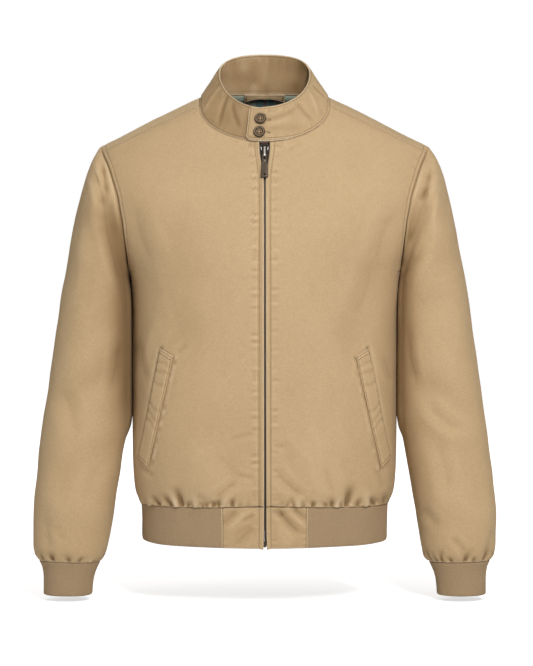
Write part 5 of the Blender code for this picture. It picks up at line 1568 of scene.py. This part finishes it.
# ---- pocket welts
def makeWelt(side, tree):
    settings, sign = welt, 1 if side == "Left" else -1
    (innerTop, outerTop), (innerLow, outerLow) = np.array([settings["top"], settings["bottom"]], float)
    t = gradedShares(165, 0.9, 2.2, 9)[:, None, None]
    s = gradedShares(19, 0.6, 1.2, 3)[None, :, None]
    flat = between(between(innerLow, outerLow, s), between(innerTop, outerTop, s), t)
    places, normals = np.zeros((*flat.shape[:2], 3)), np.zeros((*flat.shape[:2], 3))
    for i in range(flat.shape[0]):
        for j in range(flat.shape[1]):
            start = Vector((sign * flat[i, j, 0], -300, flat[i, j, 1]))
            places[i, j], normals[i, j] = tree.ray_cast(start, Vector((0, 1, 0)))[:2]
    normals = unit(normals * np.where(normals[..., 1:2] > 0, -1, 1))
    # the welt lies smoother than the cloth below it
    smoothed = places.copy()
    for _ in range(14):
        beside = smoothed[:-2, 1:-1] + smoothed[2:, 1:-1] + smoothed[1:-1, :-2] + smoothed[1:-1, 2:]
        smoothed[1:-1, 1:-1] = beside / 4
    lifted = np.maximum(0, ((places - smoothed) * normals).sum(-1))
    across, along = runAlong(places, 1), runAlong(places, 0)
    fromInner, fromOuter = across, across[:, -1:] - across
    fromEnds = np.minimum(along, along[-1:] - along)
    near = np.minimum(np.minimum(fromInner, fromOuter), fromEnds)
    height = settings["stands"] + lifted + 0.5 * smooth(near / 5) + 0.3 * cloud(places, 16, 111 + sign)
    dented = np.zeros_like(height)
    for k, dent in enumerate(settings["dents"]):
        at = (1 - dent) * along[-1:] + 2.5 * np.sin(across / 6 + k)
        dented += (0.7 + 0.4 * math.sin(3.1 * k)) * bell(along, at, 3.6) * smooth(fromOuter / 5)
    height -= settings["dentDepth"] * dented + 0.9 * bell(fromInner, 0, 1.6)
    height -= 0.5 * ripple(along, 6, 117) * bell(fromInner, 0, 3.5)
    height += 0.4 * ripple(along, 5, 113) * bell(fromOuter, 4.5, 2.4)
    for distance, at, deep in (
        (fromInner, 2.2, 0.7), (fromOuter, 2.2, 0.6), (fromEnds, 2.2, 0.6), (fromEnds, 6.5, 0.6),
    ):
        height -= deep * bell(distance, at, 0.8)
    # painted shade in its hollows and dents; its raised puckers pale
    shadeAndFade = shadeAndFadeBy(height, 1.6) - 0.04 * dented
    height -= 0.9 * rolled(np.clip(1 - near / 1.3, 0, 1))
    points = smoothed + normals * height[..., None]
    weltTree = treeOf(points)
    for line, inner, distance in (
        (points[:, 0], points[:, 5], 2.0), (points[0], points[6], 2.2), (points[-1], points[-6], 2.2),
        (points[0], points[6], 6.5), (points[-1], points[-6], 6.5), (points[:, -1], points[:, -5], 2.0),
    ):
        places, found = snapped(weltTree, offsetLine(line, inner, distance, 120))
        found = found * np.where(found[:, 1:2] > 0, -1, 1)
        addStitches("welts", places, found, gap=1.6)
    edge = np.minimum(fromOuter, fromEnds) + 0.4
    piece = clothPiece(f"pocketWelt{side}", points, sign, settings["wall"], shellCloth,
                       edge=edge, shadeAndFade=shadeAndFade)
    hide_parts(f"pocket_welt_{side.lower()}")
    cutOf(points, seam=3)


for side, tree in frontTrees.items():
    makeWelt(side, tree)
print("welts made")

# ---- hanger loop
loop = {"half": 29, "wide": 6.4, "wall": 1.3, "topZ": 5.4, "drop": 5.5, "deep": 6.4, "standsOff": 3}


def makeLoop():
    settings = loop
    even = np.linspace(-1, 1, 61)
    s = np.sign(even) * (1 - (1 - np.abs(even)) ** 1.15)
    edges = np.array([0, 0.04, 0.1, 0.2, 0.35, 0.5, 0.65, 0.8, 0.9, 0.96, 1.0])
    across, down = np.meshgrid(s, edges)
    z = settings["topZ"] - down * (settings["wide"] + settings["drop"] * np.abs(across) ** 2.6)
    x = across * settings["half"]
    turn = ringTurn(np.abs(x), bodyRings(z)[..., 0])
    y = bodySkin(turn, z, 1)[..., 1] - settings["deep"] - down * settings["standsOff"] * (1 - across**4)
    points = np.stack([x, y, z], -1)
    near = np.minimum(down, 1 - down) * settings["wide"]
    raised = -0.7 * np.sqrt(np.clip(np.minimum(near / 1.2, 1), 0, 1)) + 0.25 * bell(near, 1.6, 0.5)
    points[..., 1] += raised + 0.5 * cloud(points, 9, 121) * (1 - across**2)
    ahead = np.array([[0.0, -1.0, 0.0]])
    for row in (1.5, settings["wide"] - 1.5):
        share = row / settings["wide"]
        line = np.array([[np.interp(share, edges, points[:, k, i]) for i in range(3)] for k in range(2, 59)])
        addStitches("loop", line + ahead * 0.1, np.tile(ahead, (len(line), 1)), pitch=2.4, length=1.8)
    for sign in (-1, 1):  # the tacks at its ends
        middle = points[5, 30 + sign * 26]
        line = middle + np.linspace(-3.4, 3.4, 9)[:, None] * np.array([0, 0, 1]) + ahead * 0.4
        for shift in (-0.5, 0, 0.5):
            addStitches("loop", line + np.array([shift, 0, 0]), np.tile(ahead, (9, 1)), pitch=1.1, length=1.3)
    piece = clothPiece("hangerLoop", points, -1, settings["wall"], shellCloth, edge=near)
    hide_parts("hanger_loop")
    cutOf(points, seam=1)


makeLoop()
print("hanger loop made")

# ---- zip
zipSizes = {
    "pitch": 2.6, "toothTop": -73.0, "toothBottom": -617.5, "depth": 1.35, "thick": 1.5, "head": 0.55,
    "root": 2.7, "tall": 1.05, "spread": 2.4, "sliderZ": -80, "sliderLong": 21,
    "cord": [(0.25, -1.75), (2.9, -1.75), (2.9, -2.5), (0.25, -2.5)],  # out from the middle, and in
}


def zipFrame(z):
    # the zip's place, its up and its out at a height, on the line of the front edges

    def edgeAt(h):
        if h > hem["frontZ"]:
            return bodySkin(ringTurn(frontGap(h)[0], bodyRings(h)[0]), np.float64(h), -1)[1]
        ring = bandRings(h)
        return ovalPoint(ringTurn(2.5, ring[0]), ring[0], -ring[1])[1]

    low, high = edgeAt(z - 1.5), edgeAt(z + 1.5)
    up = unit(np.array([0, high - low, 3.0]))
    return np.array([0, edgeAt(z), z]), up, np.array([0, -up[2], up[1]])


def parting(z):
    # how far each side of the zip stands from the middle above the slider
    long = zipSizes["sliderLong"]
    return zipSizes["spread"] * smooth((z - zipSizes["sliderZ"] + long / 2) / (long * 0.75))


def makeTeeth(side, name):
    settings = zipSizes
    root, head, thick = settings["root"], settings["head"], settings["thick"]
    outline = [(root, -0.5), (0.9, -0.5), (0.3, -0.34), (-head, -0.42), (-head, 0.42), (0.3, 0.34), (0.9, 0.5),
               (root, 0.5)]
    layers = [(-thick, 0.86), (-thick + 0.2, 1.0), (-0.25, 1.0), (0.0, 0.72)]  # depth, size
    shape = ringFaces(len(layers) - 1, len(outline))
    for first in (0, (len(layers) - 1) * len(outline)):
        shape += [tuple(first + k for k in face) for face in ((0, 1, 6, 7), (1, 2, 5, 6), (2, 3, 4, 5))]
    vertices, faces = [], []
    z = settings["toothTop"] - (0 if side > 0 else settings["pitch"] / 2)
    while z > settings["toothBottom"]:
        origin, up, out = zipFrame(z)
        start = len(vertices)
        for depth, grow in layers:
            for x, y in outline:
                x = between(1.1, x, grow if depth in (0.0, -thick) else 1.0)
                place = origin + up * (y * grow * settings["tall"]) + out * (depth - settings["depth"])
                vertices.append(place + np.array([side * (x + parting(z)), 0, 0]))
        faces += [tuple(start + k for k in face) for face in shape]
        z -= settings["pitch"]
    piece = meshPiece(name, vertices, faces, toothMetal, smoothShaded=False)
    facedOut(piece.data)
    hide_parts("zip_chain_left" if side > 0 else "zip_chain_right")


def makeCord(side, name):
    # the tape's corded edge, which the teeth are clamped on
    heights = np.arange(zipSizes["toothTop"], zipSizes["toothBottom"] - 8, -3.0)
    vertices = []
    for z in heights:
        origin, _, out = zipFrame(z)
        for x, depth in zipSizes["cord"]:
            vertices.append(origin + out * depth + np.array([side * (x + parting(z)), 0, 0]))
    faces = ringFaces(len(heights) - 1, 4)
    if side < 0:
        faces = [face[::-1] for face in faces]
    meshPiece(name, vertices, faces, zipTape, smoothShaded=False)


makeCord(1, "tapeCordLeft")
makeCord(-1, "tapeCordRight")
makeTeeth(1, "zipTeethLeft")
makeTeeth(-1, "zipTeethRight")

slider = {
    "halfTop": 6.2, "halfBottom": 4.3, "front": 0.9, "frontThick": 1.6, "back": -3.5, "backThick": 1.4,
    "rod": 0.9, "bridgeFlat": 1.45, "bridgeHigh": 3.2, "bridgeLong": 15, "foot": 1.4, "bevel": 0.45,
    "pinAbove": 1.85, "pinClear": 0.4,  # the pull's bar above the bridge's foot, and clear of the plate
    # out, and up in half lengths
    "shoulder": ((4.0, 0.12), (4.7, 0.12), (5.5, 0.5), (5.3, 0.66), (4.2, 0.6)),
    "recess": ((3.6, 0.97), (3.0, 0.1), (2.1, -0.86)),
}
pull = {
    "long": 36.5, "thick": 1.4, "halfTop": 4.1, "halfBottom": 5.2, "slotHalf": 1.75, "slotLong": 6.2, "hole": 1.5,
    "holeUp": 4.2, "tilt": 0.3, "pin": 0.7, "rivet": 1.75, "rivetBelow": 2.3, "bevel": 0.35,
}


def axesMatrix(origin, up, out):
    turned = Matrix([Vector(axis) for axis in (np.cross(up, out), up, out)]).transposed()
    return Matrix.Translation(Vector(origin) * mm) @ turned.to_4x4()


def platePiece(name, outline, thick, middle, segments, bevel, finish):
    # a plate cut to an outline, with rounded edges
    made = bmesh.new()
    lower = [made.verts.new((x * mm, y * mm, (middle - thick / 2) * mm)) for x, y in outline]
    face = made.faces.new(lower)
    grown = bmesh.ops.extrude_face_region(made, geom=[face])
    raised = [v for v in grown["geom"] if isinstance(v, bmesh.types.BMVert)]
    bmesh.ops.translate(made, verts=raised, vec=(0, 0, thick * mm))
    bmesh.ops.recalc_face_normals(made, faces=made.faces)
    bmesh.ops.bevel(made, geom=list(made.edges), offset=bevel * mm, segments=segments, affect="EDGES",
                    profile=0.5, clamp_overlap=True)
    return inScene(name, shadedSmooth(meshFrom(made, name), finish))


def rodPiece(name, points, radius, finish):
    # a bent rod, a little wider than deep
    count, sides, wide, deep = 40, 14, 1.15, 0.9
    line = placedOn(np.array(points, float), np.linspace(0, 1, count))
    for _ in range(3):
        line[1:-1] = (line[:-2] + 2 * line[1:-1] + line[2:]) / 4
    across, vertices = np.array([1.0, 0, 0]), []
    for i, p in enumerate(line):
        other = np.cross(unit(line[min(i + 1, count - 1)] - line[max(i - 1, 0)]), across)
        for k in range(sides):
            turn = 2 * math.pi * k / sides
            vertices.append(p + radius * (across * math.cos(turn) * wide + other * math.sin(turn) * deep))
    mesh = bpy.data.meshes.new(name)
    mesh.from_pydata([tuple(v * mm) for v in vertices], [], ringFaces(count - 1, sides, flipped=True))
    return inScene(name, shadedSmooth(mesh, finish))


def joined(name, pieces):
    # several pieces made one, each keeping its own finish
    made, finishes = bmesh.new(), []
    for piece in pieces:
        before, finish = len(made.faces), piece.data.materials[0]
        finishes += [finish] if finish not in finishes else []
        made.from_mesh(piece.data)
        made.faces.ensure_lookup_table()
        for face in made.faces[before:]:
            face.material_index = finishes.index(finish)
        bpy.data.objects.remove(piece)
    bmesh.ops.recalc_face_normals(made, faces=made.faces)
    piece = inScene(name, shadedSmooth(meshFrom(made, name), *finishes))
    piece.modifiers.new("weighted", "WEIGHTED_NORMAL")
    return piece


hinge = np.array(frame["joints"][0]["pos_m"]) / mm


def sliderPlace():
    # the slider stands where its bridge holds the pull's bar on the joint's line
    _, up, out = zipFrame(zipSizes["sliderZ"])
    pinUp = slider["foot"] + slider["pinAbove"] - zipSizes["sliderLong"] / 2
    pinOut = slider["front"] + slider["pinClear"] + pull["pin"]
    return hinge - up * pinUp - out * pinOut, up, out


def bothWays(outline):
    # the other half of an outline, on the way back
    return [(-x, y) for x, y in outline[::-1]]


def makeSlider():
    settings = slider
    half, wide, low = zipSizes["sliderLong"] / 2, settings["halfTop"], settings["halfBottom"]
    near, far = settings["front"], settings["back"]
    right = [(low - 0.5, -half), (low, -half + 0.5), (low, -0.3 * half), (low + 0.2, 0),
             (wide - 0.3, 0.5 * half), (wide, 0.78 * half), (wide - 0.6, 0.93 * half), (wide - 1.8, half), (1.8, half)]
    outline = right + [(0, 0.8 * half)] + bothWays(right)
    recess = [(-x, y * half) for x, y in settings["recess"]]
    wedge = [(-0.4, half - 6.4), (0.4, half - 6.4), (1.5, half - 2.4), (-1.5, half - 2.4)]
    nearMiddle, farMiddle = near - settings["frontThick"] / 2, far - settings["backThick"] / 2
    plates = [
        platePiece("a", outline, settings["frontThick"], nearMiddle, 3, settings["bevel"], pullMetal),
        # a thin near-black plate: painted shade in the recess down the slider's middle
        platePiece("e", recess + bothWays(recess), 0.4, near - 0.15, 1, 0.05, recessShadeMetal),
        platePiece("b", outline, settings["backThick"], farMiddle, 2, 0.3, agedMetal),
        platePiece("c", wedge, near - far - 0.4, (near + far) / 2 - 0.4, 1, 0.1, agedMetal),
    ]
    foot, high, face = settings["foot"] - half, near + settings["bridgeHigh"], near - 0.6
    head = foot + settings["bridgeLong"]
    arch = [(0, foot, face), (0, foot, high - 1.0), (0, foot + 1.2, high - 0.1), (0, (foot + head) / 2, high),
            (0, head - 1.6, high - 0.1), (0, head, high - 1.4), (0, head, face)]
    # the bridge is in the pale metal: a painted highlight
    bridge = rodPiece("d", arch, settings["rod"], highlightMetal)
    for vertex in bridge.data.vertices:
        vertex.co.x *= settings["bridgeFlat"]
    plates.append(bridge)
    # bright plates on the shoulders on either side of it: painted highlights
    for sign in (-1, 1):
        ends = [(sign * x, y * half) for x, y in settings["shoulder"]]
        plates.append(platePiece(f"f{sign}", ends[::sign], 0.4, near + 0.02, 1, 0.1, highlightMetal))
    piece = joined("zipSlider", plates)
    piece.matrix_world = axesMatrix(*sliderPlace())
    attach(piece, jacket)
    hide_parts("zip_slider")


def makePull():
    settings = pull
    _, up, out = sliderPlace()
    tilt = np.array(Matrix.Rotation(math.radians(settings["tilt"]), 3, "X"))
    up, out = tilt @ up, tilt @ out
    top, low = settings["pin"], settings["pin"] - settings["long"]
    a, b, s = settings["halfTop"], settings["halfBottom"], settings["slotHalf"]
    corner = [(math.sin(t), math.cos(t)) for t in np.linspace(0, math.pi / 2, 5)]
    right = [(a - 1.2 + 1.2 * x, top - 1.2 + 1.2 * y) for x, y in corner]
    right += [(a, top - 6.5), (a - 0.25, top - 9), (a + 0.1, top - 14), (b, low + 4)]  # it narrows below the slot
    right += [(b - 1.5 + 1.5 * y, low + 1.5 - 1.5 * x) for x, y in corner]
    outline = right + bothWays(right)
    plate = platePiece("zipPull", outline, settings["thick"], 0, 3, settings["bevel"], pullMetal)
    slotLow = -settings["pin"] - settings["slotLong"]
    arcs = [(s, slotLow + 0.9), (0.8 * s, slotLow + 0.2), (0.5 * s, slotLow)]
    slot = [(-s, -settings["pin"]), (s, -settings["pin"])] + arcs + bothWays(arcs)
    radius, holeZ = settings["hole"], low + settings["holeUp"]
    turns = np.linspace(0, 2 * math.pi, 28, endpoint=False)
    hole = [(radius * math.cos(t), holeZ + radius * math.sin(t)) for t in turns]
    cutters = [platePiece("cutter", points, 6, 0, 1, 0.01, agedMetal) for points in (slot, hole)]
    for cutter in cutters:
        cutBy(plate, cutter)
    piece = inScene("zipPullPlate", settled(plate, *cutters))
    softened(piece, 0.18, 50)
    piece.matrix_world = axesMatrix(hinge, up, out)
    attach(piece, pullBody)
    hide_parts("zip_pull")
    # a domed rivet below the slot
    profile = [(0.7, 0.68), (1.3, 0.45), (settings["rivet"], 0.1), (settings["rivet"], -0.1)]
    middle, sides = slotLow - settings["rivetBelow"], 24
    vertices = [((r * math.cos(t)) * mm, (middle + r * math.sin(t)) * mm, (settings["thick"] / 2 + h) * mm)
                for r, h in profile for t in np.linspace(0, 2 * math.pi, sides, endpoint=False)]
    mesh = bpy.data.meshes.new("pullRivet")
    mesh.from_pydata(vertices, [], ringFaces(len(profile) - 1, sides) + [tuple(range(sides))])
    facedOut(shadedSmooth(mesh, agedMetal))
    rivet = inScene("pullRivet", mesh)
    rivet.matrix_world = axesMatrix(hinge, up, out)
    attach(rivet, pullBody)


makeSlider()
makePull()
# the top stops take the near-black recess metal and the tapes the darkened tape: painted shade at the zip
for nodeName, finish in (
    ("zip_stop_left", recessShadeMetal), ("zip_stop_right", recessShadeMetal), ("zip_box", pullMetal),
    ("zip_tape_left", zipTape), ("zip_tape_right", zipTape),
):
    for slotHeld in frame["nodes"][nodeName].material_slots:
        slotHeld.material = finish
print("zip made")

# ---- buttons
button = {
    "stands": 0.55, "hole": 1.0, "pitch": 3.4, "threadZ": -0.1,
    "slit": {"middle": 9.4, "half": 5.6, "wide": 1.25, "stitches": 34},
    "places": {"button_upper": (2.0215, 0.61), "button_lower": (2.026, 0.22)},  # round the collar, and up it
    "profile": [
        # out from the axis, height above the underside
        (0, 1.3), (3.6, 1.3), (4.9, 1.45), (5.5, 1.9), (5.9, 2.6), (6.5, 2.85), (7.1, 2.78), (7.7, 2.35),
        (8.15, 1.6), (8.2, 1.2), (7.9, 0.5), (7.0, 0.1), (5.5, 0.0), (0, 0.0),
    ],
    "streaks": [
        # place in the grain, colour
        (0.30, (0.060, 0.036, 0.018)), (0.46, (0.095, 0.059, 0.030)), (0.60, (0.13, 0.084, 0.045)),
    ],
    "darkest": (0.06, 0.036, 0.020), "palest": (0.21, 0.145, 0.085), "holeShadeColour": (0.004, 0.002, 0.001),
    "rings": [
        # radius, width, how much, colour: the pale centre, a painted highlight ring on the rim, painted shade in the
        # groove inside it and round the outside
        (0.0, 5.2, 0.9, (0.42, 0.285, 0.16)), (6.3, 0.8, 0.8, (0.46, 0.34, 0.21)),
        (5.2, 1.1, 0.95, (0.022, 0.012, 0.006)), (8.4, 2.6, 0.97, (0.016, 0.009, 0.005)),
    ],
}


def hornMaterial(look):
    made, tree, shader = newMaterial("hornButton")
    place = placeIn(tree)
    streaks = noiseOf(tree, stretched(tree, place, (260, 260, 620), (0.3, 0.5, 0.9)), 1.0, 5.0, 0.6)
    ramp = node(tree, "ShaderNodeValToRGB", {"Fac": streaks})
    for at, colour in look["streaks"]:
        stop = ramp.color_ramp.elements.new(at)
        stop.color = (*colour, 1)
    ramp.color_ramp.elements[0].color = (*look["darkest"], 1)
    ramp.color_ramp.elements[-1].color = (*look["palest"], 1)
    flat = vectors(tree, "MULTIPLY", place, (1 / mm, 1 / mm, 0))
    out, colour = vectors(tree, "LENGTH", flat), ramp.outputs["Color"]
    for radius, width, much, tint in look["rings"]:
        away = maths(tree, "ABSOLUTE", maths(tree, "SUBTRACT", out, radius))
        ring = above(tree, 1.0, maths(tree, "DIVIDE", away, width))
        colour = mixed(tree, times(tree, ring, much), colour, tint)
    # painted shade down its four holes, coloured near black
    half = look["pitch"] / 2
    fromHole = vectors(tree, "SUBTRACT", vectors(tree, "ABSOLUTE", flat), (half, half, 0))
    fromHole = vectors(tree, "LENGTH", fromHole)
    inHole = maths(tree, "MINIMUM", above(tree, look["hole"] + 0.2, fromHole), 0.2)
    colour = mixed(tree, times(tree, inHole, 5.0), colour, look["holeShadeColour"])
    rough = maths(tree, "MULTIPLY_ADD", streaks, 0.2, 0.42)
    finished(tree, shader, colour, rough, noiseOf(tree, place, 1500.0), 0.12, 0.0001)
    shader.inputs["Specular IOR Level"].default_value = 0.2
    return made


def makeButton(name, place, up):
    settings = button
    at = lambda p, u: collarPoint(np.array(p), np.array(u))
    rise, along = at(place, up + 0.05) - at(place, up - 0.05), at(place + 0.01, up) - at(place - 0.01, up)
    out = unit(np.cross(rise, along))
    side = unit(np.cross(np.array([0, 0, 1.0]), out))
    where = axesMatrix(at(place, up) + out * settings["stands"], np.cross(out, side), out)
    coarse = np.array(settings["profile"])
    sides, rows = 64, 40
    fine = np.linspace(0, len(coarse) - 1, rows)
    profile = np.stack([np.interp(fine, np.arange(len(coarse)), coarse[:, k]) for k in (0, 1)], -1)
    vertices = [(profile[i, 0] * math.cos(t) * mm, profile[i, 0] * math.sin(t) * mm, profile[i, 1] * mm)
                for i in range(1, rows - 1) for t in np.linspace(0, 2 * math.pi, sides, endpoint=False)]
    vertices += [(0, 0, profile[0, 1] * mm), (0, 0, 0)]
    faces = ringFaces(rows - 3, sides, flipped=True)
    topPole, lowPole, last = len(vertices) - 2, len(vertices) - 1, (rows - 3) * sides
    faces += [(topPole, k, (k + 1) % sides) for k in range(sides)]
    faces += [(lowPole, last + (k + 1) % sides, last + k) for k in range(sides)]
    mesh = bpy.data.meshes.new(name + "Blank")
    mesh.from_pydata(vertices, [], faces)
    blank = inScene(name + "Blank", mesh)
    drill, half, radius = bmesh.new(), settings["pitch"] / 2, settings["hole"] * mm
    for x in (-half, half):
        for y in (-half, half):
            bmesh.ops.create_cone(drill, cap_ends=True, segments=16, radius1=radius, radius2=radius,
                                  depth=12 * mm, matrix=Matrix.Translation((x * mm, y * mm, 0)))
    drillPiece = inScene(name + "Drill", meshFrom(drill, name + "Drill"))
    cutBy(blank, drillPiece)
    mesh = settled(blank, drillPiece)
    mesh.materials.clear()
    piece = inScene(name.replace("button_", "horn"), shadedSmooth(mesh, hornFinish))
    softened(piece, 0.14, 55)
    piece.matrix_world = where
    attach(piece, jacket)
    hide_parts(name)
    local = lambda x, y, z: np.array(where @ Vector((x * mm, y * mm, z * mm))) / mm
    # two bars of near-black thread that show through the holes from below, painted shade down them
    for y in (-half, half):
        line = np.stack([local(x, y, settings["threadZ"]) for x in np.linspace(-half - 1, half + 1, 6)])
        addStitches("buttons", line, np.tile(out, (6, 1)), pitch=5.2, length=5.2, radius=0.8)
    # the buttonhole beside it, a ring of short stitches round a slit
    slit = settings["slit"]
    for k in range(slit["stitches"]):
        t = k / slit["stitches"] * 2 * math.pi
        x, y = slit["middle"] + slit["half"] * math.cos(t), slit["wide"] * math.sin(t)
        reachX, reachY = 0.15 * math.cos(t), 0.55 * np.sign(math.sin(t) or 1)
        line = np.stack([local(x + reachX * d, y + reachY * d, -0.3) for d in (-1, 0, 1)])
        places, found = snapped(collarTree, line)
        if np.linalg.norm(places[2] - places[0]) > 0.3:
            addStitches("buttonholes", places, -found, pitch=1.0, length=1.4, radius=0.33)


hornFinish = hornMaterial(button)
for name, (place, up) in button["places"].items():
    makeButton(name, place, up)
finishStitches()
print("buttons and stitches made")

# ---- floor, light and camera
studio = {
    "floorZ": -712, "floorHalf": 20000, "floorColour": (0.9, 0.9, 0.9), "world": 0.21,
    "floorGlow": (0.62, 0.84), "glowReach": (0.5, 2.6),  # near and far, and how far those are in metres; the dimmer glow near the jacket is a painted soft shadow round it
    "lights": [
        # name, place in metres, size, power
        ("keyLight", (0.9, -3.0, 1.6), 0.9, 96), ("fillLight", (-2.9, -1.5, 0.5), 1.4, 13),
        ("topLight", (0.3, -0.3, 2.2), 1.2, 9), ("backLight", (-0.6, 3.0, 1.4), 1.4, 22),
    ],
    "lightAim": (0, 0, -0.33),
}
view = {"distance": 4.0, "elevation": 1.75, "aim": (0.0027, 0, -0.335), "tall": 666 * 1.42, "sensor": 36}


def makeStudio():
    half, z = studio["floorHalf"] * mm, studio["floorZ"] * mm
    mesh = bpy.data.meshes.new("studioFloor")
    corners = [(-half, -half, z), (half, -half, z), (half, half, z), (-half, half, z)]
    mesh.from_pydata(corners, [], [(0, 1, 2, 3)])
    floor = inScene("studioFloor", mesh)
    pale, tree, shader = newMaterial("paleFloor")
    shader.inputs["Base Color"].default_value = (*studio["floorColour"], 1)
    shader.inputs["Roughness"].default_value = 0.9
    shader.inputs["Emission Color"].default_value = (1, 1, 1, 1)
    # a glow seen only by the camera, dimmer near the jacket: a painted soft shadow round it
    direct = node(tree, "ShaderNodeLightPath").outputs["Is Camera Ray"]
    (near, far), (low, high) = studio["glowReach"], studio["floorGlow"]
    reach = maths(tree, "DIVIDE", above(tree, vectors(tree, "LENGTH", placeIn(tree)), near), far - near)
    glow = maths(tree, "MULTIPLY_ADD", maths(tree, "MINIMUM", reach, 1.0), high - low, low)
    tree.links.new(times(tree, direct, glow), shader.inputs["Emission Strength"])
    mesh.materials.append(pale)
    world = bpy.data.worlds.new("softStudio")
    bpy.context.scene.world = world
    world.use_nodes = True
    tree = world.node_tree
    background = tree.nodes["Background"]
    background.inputs["Color"].default_value = (1, 1, 1, 1)
    background.inputs["Strength"].default_value = studio["world"]
    white = node(tree, "ShaderNodeBackground", {"Color": (1, 1, 1, 1), "Strength": 1.0})
    seen = node(tree, "ShaderNodeLightPath").outputs["Is Camera Ray"]
    mix = tree.nodes.new("ShaderNodeMixShader")
    tree.links.new(seen, mix.inputs[0])
    tree.links.new(background.outputs[0], mix.inputs[1])
    tree.links.new(white.outputs[0], mix.inputs[2])
    tree.links.new(mix.outputs[0], tree.nodes["World Output"].inputs["Surface"])
    for name, place, size, power in studio["lights"]:
        lamp = bpy.data.lights.new(name, "AREA")
        lamp.size, lamp.energy = size, power
        held = inScene(name, lamp)
        held.location = place
        toAim = Vector(studio["lightAim"]) - Vector(place)
        held.rotation_euler = toAim.to_track_quat("-Z", "Y").to_euler()


def makeCamera():
    camera = bpy.data.cameras.new("studioCamera")
    camera.sensor_width = view["sensor"]
    camera.lens = view["sensor"] * view["distance"] / (view["tall"] * mm)
    camera.clip_start, camera.clip_end = 0.05, 60
    held = inScene("studioCamera", camera)
    elevation = math.radians(view["elevation"])
    away = Vector((0, -math.cos(elevation), math.sin(elevation)))
    held.location = Vector(view["aim"]) + away * view["distance"]
    held.rotation_euler = (-away).to_track_quat("-Z", "Y").to_euler()
    bpy.context.scene.camera = held


makeStudio()
makeCamera()
bpy.context.scene.view_settings.view_transform = "Standard"
shown = bpy.context.evaluated_depsgraph_get()
triangles = {}
for o in bpy.context.scene.objects:
    if o.type == "MESH" and not o.hide_render:
        triangles[o.name] = sum(len(p.vertices) - 2 for p in o.evaluated_get(shown).data.polygons)
most = sorted(triangles.items(), key=lambda row: -row[1])[:12]
print("triangles:", sum(triangles.values()), "most:", most)
print("scene made")
